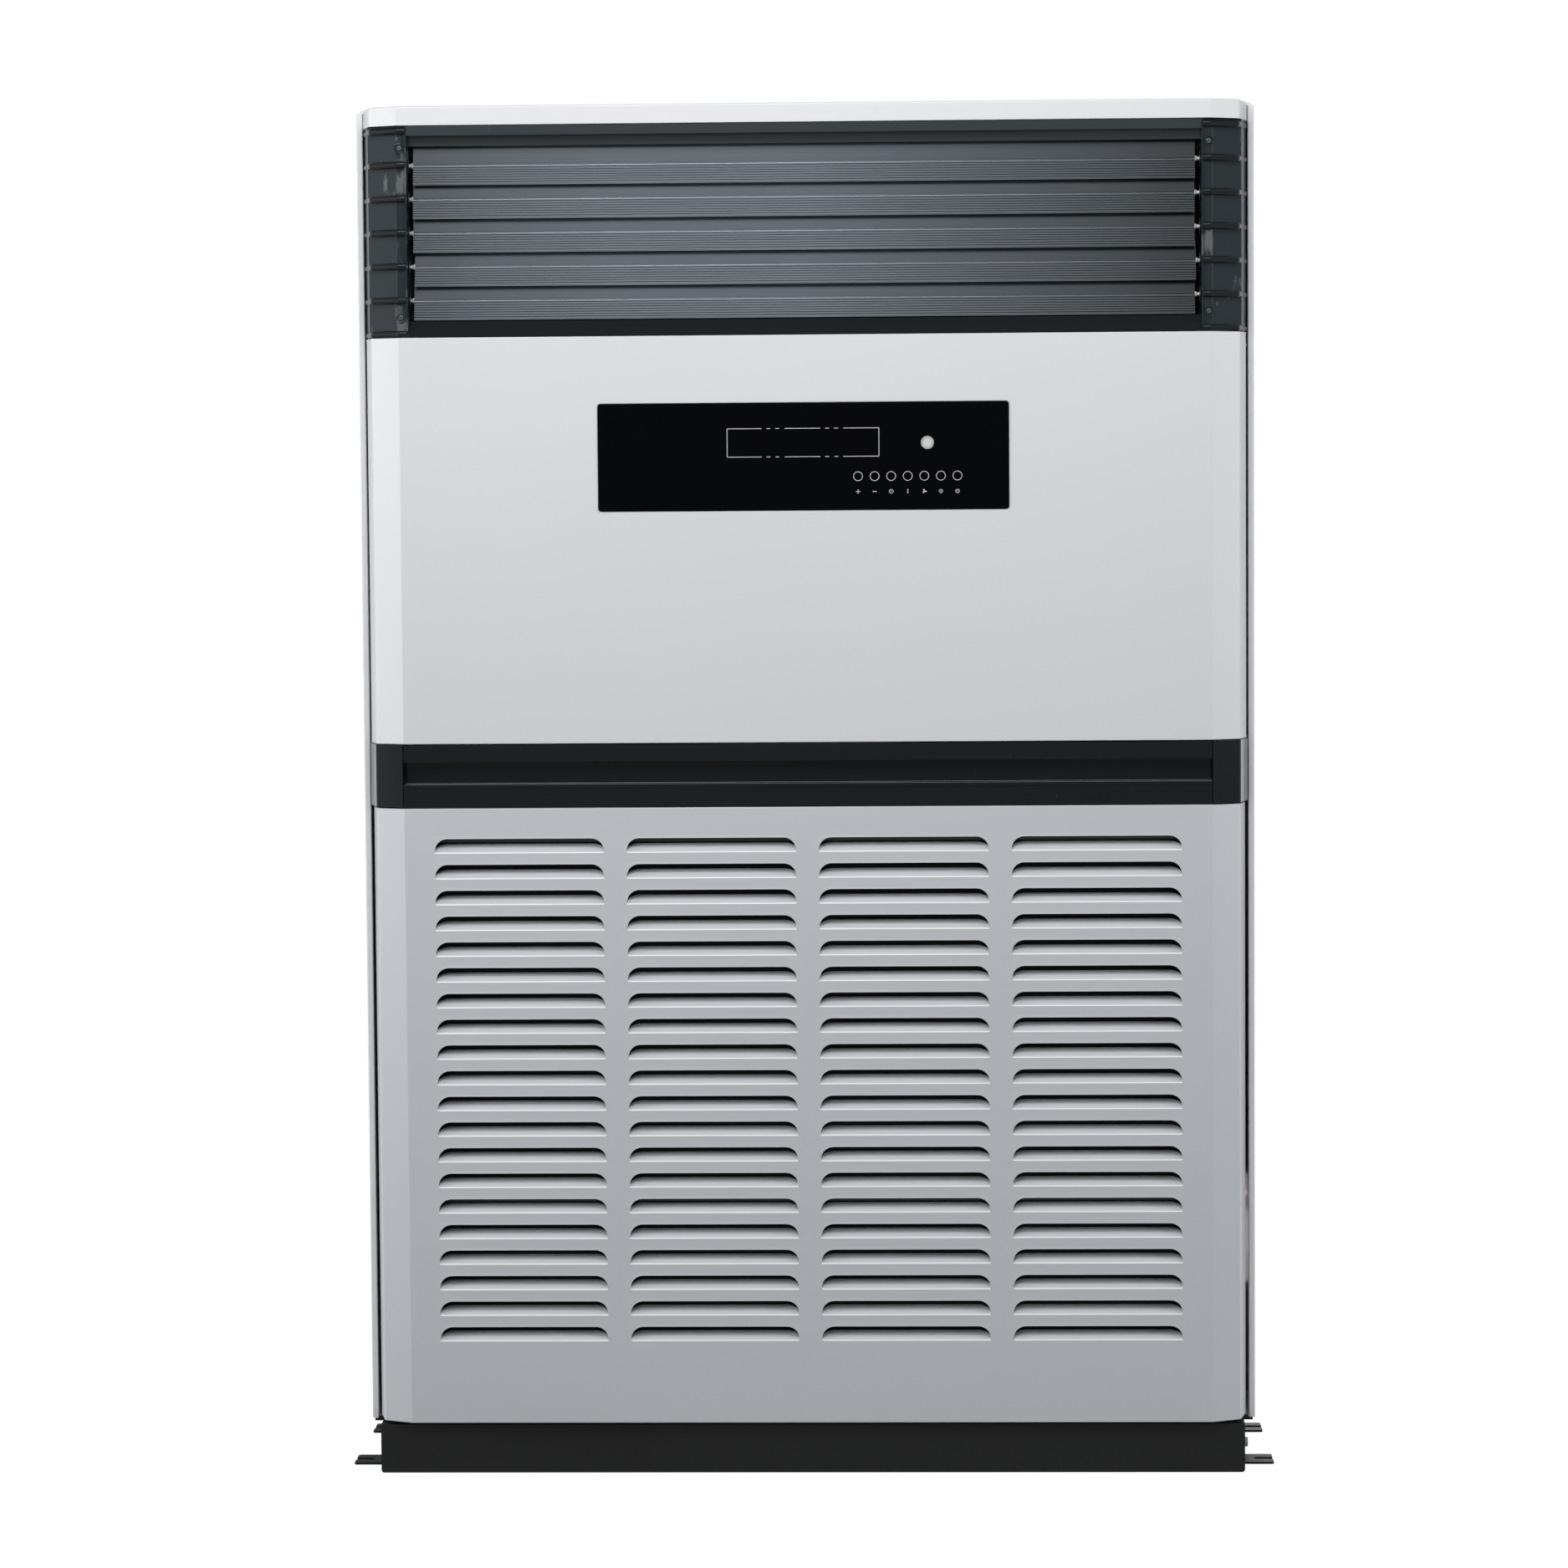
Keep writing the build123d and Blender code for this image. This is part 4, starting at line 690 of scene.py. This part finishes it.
def intake_panel():
    """Bent panel with eighty louvres, folds at its ends and hems at its sides."""
    tile = louvre_tile()
    tiles = [copied(tile, "louvre", (column - (COLUMNS - 1) / 2) * PITCH_X, 0,
                    TOP_FOLD_Z - row * PITCH_Z)
             for column in range(COLUMNS) for row in range(ROWS)]
    bpy.data.objects.remove(tile)
    panel = join(tiles, "intake_panel")
    edit(panel)
    merged(0.02)
    wide = PITCH_X * COLUMNS / 2
    top = TOP_FOLD_Z + PITCH_Z - TILE_LOW
    bottom = top - ROWS * PITCH_Z
    for side in (-1, 1):
        pick("BORDER", lambda p: near(p.x, side * wide))
        pull(x=side * (FLAT_X - wide))
    pick("BORDER", lambda p: near(p.z, top))
    pull(z=LOWER_Z[1] - top)
    pick("BORDER", lambda p: near(p.z, bottom))
    pull(z=LOWER_Z[0] - bottom)
    for side in (-1, 1):
        pick("BORDER", lambda p: near(p.x, side * FLAT_X))
        pull(side * (FACET_X - FLAT_X), FACET_D - PANEL_D)
        pull(side * (SIDE_X - FACET_X), SIDE_D - FACET_D)
    for x, width in BENDS:
        pick("EDGE", lambda p: near(abs(p.x), x) and p.y < at(FACET_D + 1))
        bpy.ops.mesh.bevel(affect="EDGES", offset=width * MM, segments=4)
    for z in LOWER_Z:
        pick("BORDER", lambda p: near(p.z, z))
        pull()
        scale_about(1 - FLANGE / SIDE_X, 1 - FLANGE / (SIDE_D - PANEL_D), 1, (0, at(SIDE_D), 0))
    for side in (-1, 1):
        pick("BORDER", lambda p: near(p.x, side * SIDE_X) and near(p.y, at(SIDE_D) / MM))
        pull(side * -HEM)
    pick_all()
    bpy.ops.mesh.normals_make_consistent(inside=False)
    done()
    return panel


# ---------------------------------------------------------------- filter
def within_filter(p, rim):
    """True if a point lies farther than the rim from the filter's outer edge."""
    return abs(p.x) / MM < FILTER_X - rim and FILTER_Z[0] + rim < p.z / MM < FILTER_Z[1] - rim


def in_field(p):
    """True inside the fields of the filter, off its rim and bars."""
    off_bars = all(abs(p.x / MM - x) > BAR_HALF + 1 for x in BAR_X)
    off_rows = all(abs(p.z / MM - z) > BAR_HALF + 1 for z in BAR_Z)
    return off_bars and off_rows and within_filter(p, RIM_W + 1)


def filter_piece():
    """Frame with cross bars and a net in each of its fields."""
    piece = slab("filter_frame", (-FILTER_X, FILTER_X), FILTER_D, FILTER_Z)
    edit(piece)
    pick("FACE", lambda p, n: n.y < -0.9)
    bpy.ops.mesh.inset(thickness=RIM_W * MM)
    cuts = [((x + side * BAR_HALF, 0, 0), (1, 0, 0)) for x in BAR_X for side in (-1, 1)]
    cuts += [((0, 0, z + side * BAR_HALF), (0, 0, 1)) for z in BAR_Z for side in (-1, 1)]
    for place, normal in cuts:
        pick("FACE", lambda p, n: n.y < -0.9 and within_filter(p, RIM_W))
        bpy.ops.mesh.bisect(plane_co=[value * MM for value in place], plane_no=normal)
    pick("FACE", lambda p, n: n.y < -0.9 and in_field(p))
    pull(y=NET_D)
    done()
    return piece


# ---------------------------------------------------------------- vanes
def vane_profile():
    """(height, depth) of each cut across the face of a vane: ridge, bumps above, reeds below."""
    steps = list(RIDGE)
    for i in range(BUMPS):
        z = BUMP_Z + BUMP_PITCH * i
        steps += [(z + 0.5, 0.0), (z, BUMP_H), (z - 0.5, 0.0)]
    for i in range(REEDS):
        z = RIDGE[-1][0] - REED_PITCH * i
        steps += [(z - 0.4, 0.2), (z - 0.8, 0.0), (z - 1.7, 0.0), (z - 2.1, 0.35)]
        if i < REEDS - 1:
            steps += [(z - REED_PITCH + 0.7, 1.35), (z - REED_PITCH, 1.35)]
    return steps


def reeded_vane():
    """A vane about its own pivot axis: nearly plain upper half, ridge, reeded lower half."""
    vane = slab("vane", (-VANE_X, VANE_X), (-VANE_FACE, -VANE_BACK), (-VANE_DOWN, VANE_UP))
    vane.data.transform(Matrix.Translation((0, -FRONT, 0)))
    steps = vane_profile()
    edit(vane)
    for z, _ in steps:
        pick("FACE", lambda p, n: n.y < -0.5)
        bpy.ops.mesh.bisect(plane_co=(0, 0, z * MM), plane_no=(0, 0, 1))
    for z, depth in steps:
        pick("VERT", lambda p: near(p.z, z, 0.02) and near(p.y, -VANE_FACE, 0.02))
        bpy.ops.transform.translate(value=(0, depth * MM, 0))
    pick("EDGE", lambda p: near(p.z, -VANE_DOWN, 0.02) or near(p.z, VANE_UP, 0.02))
    bpy.ops.mesh.bevel(affect="EDGES", offset=0.5 * MM, segments=2)
    done()
    return vane


def vane_fittings(number):
    """The CAD vane without its blade: pivots and crank."""
    piece = copied(NODES[f"vane_{number}"], f"vane_{number}_pivots")
    edit(piece)
    merged(0.001)
    lowest = VANE_Z[number - 1] * MM - 20 * MM    # only the blade reaches so low
    pick("VERT", lambda p: p.z < lowest)
    bpy.ops.mesh.select_linked()
    bpy.ops.mesh.delete(type="VERT")
    done()
    return piece


# ---------------------------------------------------------------- prints on the display
def disc(name, x, z, radius, steps, depth=PRINT_D):
    """A flat disc or polygon that faces the front, its origin at its middle."""
    deselect()
    bpy.ops.mesh.primitive_circle_add(vertices=steps, radius=radius * MM, fill_type="NGON",
                                      rotation=(math.radians(90), 0, 0),
                                      location=(x * MM, at(depth), z * MM))
    return new_piece(name)


def ring(name, x, z, radius, width, steps=40, depth=PRINT_D):
    """A flat printed ring."""
    piece = settle(disc(name, x, z, radius, steps, depth))
    edit(piece)
    pick_all()
    bpy.ops.mesh.inset(thickness=width * MM)
    bpy.ops.mesh.delete(type="FACE")
    done()
    return piece


def blob(name, x, z, radius, steps=24, stretch=1.0):
    """A flat printed disc or polygon; stretch lengthens it upwards."""
    piece = disc(name, x, z, radius, steps)
    piece.scale = (1, stretch, 1)
    return settle(piece)


def bars(name, *lines):
    """Printed lines from (x low, x high, z low, z high) values."""
    return join([sheet(name, line[:2], line[2:], PRINT_D) for line in lines], name)


def thickened(piece):
    """Gives a print its thickness, towards the front."""
    modified(piece, "SOLIDIFY", thickness=PRINT * MM, offset=1.0)
    return piece


def turned(piece, x, z, angle):
    """Turns a flat print about a point in its own plane."""
    edit(piece)
    pick_all()
    bpy.ops.transform.rotate(value=math.radians(angle), orient_axis="Y",
                             center_override=(x * MM, 0, z * MM))
    done()
    return piece


def pictogram(kind, x, z):
    """A small generic sign, about 6 mm wide."""
    if kind in ("plus", "minus"):
        lines = [(x - 2.8, x + 2.8, z - 0.4, z + 0.4)]
        lines += [(x - 0.4, x + 0.4, z - 2.8, z + 2.8)] if kind == "plus" else []
        return [bars(kind, line) for line in lines]
    if kind == "timer":
        face = ring(kind, x, z, 2.9, 0.55)
        long_hand = bars(kind, (x - 0.25, x + 0.25, z, z + 1.9))
        short_hand = bars(kind, (x - 0.25, x + 0.25, z, z + 1.5))
        return [face, long_hand, turned(short_hand, x, z, 110)]
    if kind == "swing":
        tips = [turned(blob(kind, x, z + 2.0, 1.25, 3), x, z, turn) for turn in (0, 180)]
        return tips + [bars(kind, (x - 0.3, x + 0.3, z - 1.9, z + 1.9))]
    if kind == "fan":
        wings = [turned(blob(kind, x, z + 1.75, 0.85, 20, 1.45), x, z, turn)
                 for turn in (20, 140, 260)]
        return wings + [blob(kind, x, z, 0.55)]
    if kind == "mode":
        rays = [turned(bars(kind, (x - 0.25, x + 0.25, z + 1.9, z + 3.0)), x, z, turn)
                for turn in range(0, 360, 45)]
        return rays + [ring(kind, x, z, 1.45, 0.5)]
    arc = ring(kind, x, z, 2.7, 0.6, 48)
    edit(arc)
    pick("FACE", lambda p, n: p.z / MM > z + 1.0 and abs(p.x / MM - x) < 1.25)
    bpy.ops.mesh.delete(type="FACE")
    done()
    return [arc, bars(kind, (x - 0.3, x + 0.3, z + 0.2, z + 3.0))]


def display_outline():
    """The thin frame around the display field, broken by two pairs of dashes above and below."""
    x0, x1, z0, z1 = LCD
    spans = ((x0, -57.2), (-50.6, -45.4), (-38.6, -33.8), (-26.2, 20.8), (27.4, 32.6),
             (39.2, 44.6), (51.2, x1))
    lines = [(low, high, z - LCD_LINE, z + LCD_LINE) for z in (z0, z1) for low, high in spans]
    lines += [(x - LCD_LINE, x + LCD_LINE, z0, z1) for x in (x0, x1)]
    return bars("display_outline", *lines)


# ---------------------------------------------------------------- screws
def screw():
    """Pan-head screw with a cross recess, its seat at the origin, its head towards the front."""
    deselect()
    bpy.ops.mesh.primitive_cylinder_add(vertices=32, radius=HEAD_R * MM, depth=HEAD_H * MM,
                                        rotation=(math.radians(90), 0, 0),
                                        location=(0, -HEAD_H / 2 * MM, 0))
    head = settle(new_piece("screw"))
    edit(head)
    pick("FACE", lambda p, n: n.y > 0.9)
    bpy.ops.mesh.inset(thickness=(HEAD_R - SHANK_R) * MM)
    pull(y=SHANK)
    pick("EDGE", lambda p: near(p.y, -HEAD_H, 0.02))
    bpy.ops.mesh.bevel(affect="EDGES", offset=1.0 * MM, segments=4)
    done()
    arms = []
    for wide, high in ((4.4, 0.9), (0.9, 4.4)):
        deselect()
        bpy.ops.mesh.primitive_cube_add(size=1, location=(0, -1.6 * MM, 0))
        arm = new_piece("recess")
        arm.scale = (wide * MM, 1.4 * MM, high * MM)
        arms.append(settle(arm))
    for arm in arms:
        modified(head, "BOOLEAN", object=arm, operation="DIFFERENCE", solver="EXACT")
        bpy.data.objects.remove(arm)
    return head


# ---------------------------------------------------------------- refined CAD pieces
def refined(name, label, width):
    """A copy of a CAD node with its sharp edges rounded by so many millimetres."""
    piece = copied(NODES[name], label)
    edit(piece)
    merged(0.001)
    pick_all()
    bpy.ops.mesh.dissolve_limited(angle_limit=math.radians(0.5))
    done()
    softened(piece, width, 40)
    smooth(piece, 30)
    return piece


# ---------------------------------------------------------------- build the pieces
def build_intake():
    """Intake panel in a darker paint as painted shade; its flaps get painted light, its folds a
    painted highlight, and its side walls keep the casing paint.
    """
    panel = intake_panel()
    softened(panel, 1.2, 60, 3)
    modified(panel, "SOLIDIFY", thickness=SHEET * MM, offset=-1.0)
    softened(panel, 0.3, 50, 2)
    smooth(panel, 30)
    placed(panel, intake_shaded_paint, "lower_panel", "casing_white", "lower_front_panel")
    fold_y = at(PANEL_D + FOLD_D)
    # painted light on the flaps, which face upwards
    painted(panel, flap_lit_paint, lambda p, n: n.z > 0.6 and p.y > fold_y and abs(p.x) / MM < FLAT_X)
    # painted highlight along the folds
    painted(panel, fold_highlight_paint, lambda p, n: n.z > 0.2 and at(PANEL_D) < p.y < fold_y
            and abs(p.x) / MM < FLAT_X and LOWER_Z[0] + 20 < p.z / MM < LOWER_Z[1] - 20)
    # the side walls keep the casing's own paint, without the painted shade of the intake paint
    painted(panel, casing_paint, lambda p, n: abs(n.x) > 0.6 and n.y < 0
            and abs(p.x) / MM > FACET_X - 3)


def build_casing():
    """Casing panels, outlet ends and trim, from the CAD with rounded edges."""
    upper = refined("upper_front_panel", "upper_panel", 0.45)
    placed(upper, casing_paint, "cabinet", "casing_white", "upper_front_panel")
    for name in ("outlet_end_left", "outlet_end_right"):
        end = refined(name, f"{name}_piece", 0.5)
        placed(end, outlet_gloss, "cabinet", "outlet_dark", name)
    for name in ("trim_band", "trim_cap_left", "trim_cap_right"):
        trim = refined(name, f"{name}_piece", 0.6)
        placed(trim, band_gloss, "cabinet", "band_black", name)
        if name == "trim_band":
            # painted highlight on the top edge of the band's lower lip
            painted(trim, edge_highlight_gloss, lambda p, n: n.z > 0.3 and n.y < -0.3 and p.z / MM < GROOVE_Z)
        else:
            # painted highlight on the caps' outer sides
            painted(trim, edge_highlight_gloss, lambda p, n: abs(n.x) > 0.85 and n.y < 0
                    and abs(p.x) / MM > FACET_X)
    cover = refined("top_cover", "top_cover_piece", 0.3)
    edit(cover)
    pick("VERT", lambda p: p.z / MM < COVER_LIP_Z and p.y / MM > COVER_LIP_Y)
    bpy.ops.transform.translate(value=(0, 0, -COVER_LAP * MM))
    done()
    placed(cover, casing_paint, "cabinet", "casing_white", "top_cover")
    for name in ("side_panel_left", "side_panel_right"):
        wall = refined(name, f"{name}_piece", 0.3)
        placed(wall, casing_paint, "cabinet", "casing_white", name)


def build_filter():
    net = filter_piece()
    softened(net, 0.6, 60, 2)
    placed(net, dark_nylon, "lower_panel", "filter_net", "air_filter")
    painted(net, filter_mesh, lambda p, n: n.y < -0.9 and p.y > at(FILTER_D[0] + 4))
    smooth(net)


def build_vanes():
    """The vanes, each with its pivots and crank from the CAD."""
    master = reeded_vane()
    smooth(master, 38)
    lean = Matrix.Rotation(-VANE_LEAN, 4, "X")
    for number, (z, aside) in enumerate(zip(VANE_Z, VANE_FLOAT), 1):
        body = f"vane_{number}"
        vane = copied(master, f"{body}_blade")
        vane.data.transform(Matrix.Translation((aside * MM, at(VANE_D), z * MM)) @ lean)
        fittings = vane_fittings(number)
        smooth(fittings)
        placed(vane, vane_metal, body, "vane_grey", body)
        # painted highlight along the ridge
        painted(vane, vane_ridge_highlight, lambda p, n: p.z / MM > z - 0.8)
        painted(vane, vane_upper_metal, lambda p, n: p.z / MM > z + 0.65)
        placed(fittings, turned_steel, body, "steel_bright")
    bpy.data.objects.remove(master)


def build_display():
    """Prints of the display; each ring rides on its key."""
    marks = [display_outline()]
    for i, kind in enumerate(KEYS):
        x = KEY_X + i * KEY_PITCH
        marks += pictogram(kind, x, LABEL_Z)
        circle = ring(f"key_{kind}_ring", x, KEY_Z, RING_R, RING_W, depth=KEY_PRINT_D)
        placed(thickened(circle), print_white, f"key_{kind}", "white_plastic")
    marks = thickened(join(marks, "display_print"))
    placed(marks, print_white, "cabinet", "white_plastic")


def build_screws():
    """Screws of the outlet ends and of the rear, as one piece."""
    master = screw()
    smooth(master)
    screws = []
    for side in (-1, 1):
        screws += [copied(master, "screw", side * FRONT_SCREW_X, at(FRONT_SCREW_D) / MM, z)
                   for z in FRONT_SCREW_Z]
        for z in REAR_SCREW_Z:
            rear = copied(master, "screw")
            place = Matrix.Translation((side * REAR_SCREW_X * MM, REAR_SCREW_Y * MM, z * MM))
            rear.data.transform(place @ Matrix.Rotation(math.pi, 4, "Z"))
            screws.append(rear)
    bpy.data.objects.remove(master)
    heads = join(screws, "casing_screw_set")
    placed(heads, blackened_steel, "cabinet", "steel_bright", "casing_screws")


build_intake()
build_casing()
build_filter()
build_vanes()
build_display()
build_screws()


# ---------------------------------------------------------------- camera, lights, floor
def place_camera():
    """The photograph's view: 6.07 m in front, nearly level, a touch of roll."""
    forward = Vector((math.sin(YAW) * math.cos(PITCH), math.cos(YAW) * math.cos(PITCH),
                      -math.sin(PITCH)))
    right = Vector((math.cos(YAW), -math.sin(YAW), 0))
    down = forward.cross(right)
    right, down = (math.cos(ROLL) * right + math.sin(ROLL) * down,
                   -math.sin(ROLL) * right + math.cos(ROLL) * down)
    data = bpy.data.cameras.new("camera")
    data.sensor_width = 36.0
    data.lens = FOCAL / FRAME * data.sensor_width
    camera = bpy.data.objects.new("camera", data)
    bpy.context.scene.collection.objects.link(camera)
    turn = Matrix((right, -down, -forward)).transposed().to_4x4()
    camera.matrix_world = Matrix.Translation(CAMERA) @ turn
    bpy.context.scene.camera = camera


def softbox(name, place, aim, size, power, spread=180):
    """A rectangular lamp of so many watts at a place, turned to a point."""
    data = bpy.data.lights.new(name, "AREA")
    data.shape, data.size, data.size_y = "RECTANGLE", size[0], size[1]
    data.energy, data.spread = power, math.radians(spread)
    lamp = bpy.data.objects.new(name, data)
    bpy.context.scene.collection.objects.link(lamp)
    lamp.location = place
    lamp.rotation_euler = (Vector(aim) - Vector(place)).to_track_quat("-Z", "Y").to_euler()


def seen(tree):
    """1 for what the camera sees straight, in a gloss or through glass, else 0."""
    rays = tree.nodes.new("ShaderNodeLightPath")
    straight = maths(tree, "ADD", rays.outputs["Is Camera Ray"], rays.outputs["Is Glossy Ray"],
                     clamp=True)
    return maths(tree, "ADD", straight, rays.outputs["Is Transmission Ray"], clamp=True)


def light_studio():
    softbox("key_front", (-1.3, -4.5, 3.6), (0, 0, 1.8), (1.8, 1.2), 11, 80)
    softbox("overhead", (0, -2.0, 2.85), (0, 0, 1.45), (2.0, 0.8), 29)
    softbox("side_left", (-3.4, -1.1, 1.4), (-0.6, 0, 1.1), (1.0, 2.2), 44)
    softbox("side_right", (3.4, -1.1, 1.4), (0.6, 0, 1.1), (1.0, 2.2), 35)
    softbox("front_right", (3.2, -2.6, 1.7), (0.6, 0, 1.3), (0.8, 1.6), 3)
    softbox("rear_fill", (1.0, 4.2, 1.2), (0, 0.2, 0.9), (2.4, 1.6), 80)
    softbox("front_left", (-3.2, -1.9, 1.9), (-0.6, 0, 1.5), (0.8, 1.6), 4)
    world = bpy.data.worlds.new("studio")
    bpy.context.scene.world = world
    world.use_nodes = True
    tree = world.node_tree
    tree.nodes.clear()
    ambient, white = tree.nodes.new("ShaderNodeBackground"), tree.nodes.new("ShaderNodeBackground")
    ambient.inputs["Strength"].default_value = 0.1
    mix = tree.nodes.new("ShaderNodeMixShader")
    out = tree.nodes.new("ShaderNodeOutputWorld")
    ambient.inputs["Color"].default_value = white.inputs["Color"].default_value = (1, 1, 1, 1)
    link(tree, seen(tree), mix.inputs["Fac"])
    link(tree, ambient.outputs["Background"], mix.inputs[1])
    link(tree, white.outputs["Background"], mix.inputs[2])
    link(tree, mix.outputs["Shader"], out.inputs["Surface"])


def lay_floor():
    """Pale floor; most of what the camera sees of it is plain white."""
    deselect()
    bpy.ops.mesh.primitive_plane_add(size=FLOOR_SIZE, location=(0, 0, 0))
    floor = new_piece("floor")
    material, tree, surface = shader("floor_white", Roughness=0.9, Specular_IOR_Level=0.0,
                                     Base_Color=(0.3, 0.3, 0.3, 1))
    glow = tree.nodes.new("ShaderNodeEmission")
    mix = tree.nodes.new("ShaderNodeMixShader")
    glow.inputs["Strength"].default_value = FLOOR_GLOW
    link(tree, maths(tree, "MULTIPLY", seen(tree), FLOOR_SHARE), mix.inputs["Fac"])
    link(tree, surface.outputs["BSDF"], mix.inputs[1])
    link(tree, glow.outputs["Emission"], mix.inputs[2])
    link(tree, mix.outputs["Shader"], tree.nodes["Material Output"].inputs["Surface"])
    floor.data.materials.append(material)


place_camera()
light_studio()
lay_floor()
bpy.context.scene.view_settings.view_transform = "Standard"
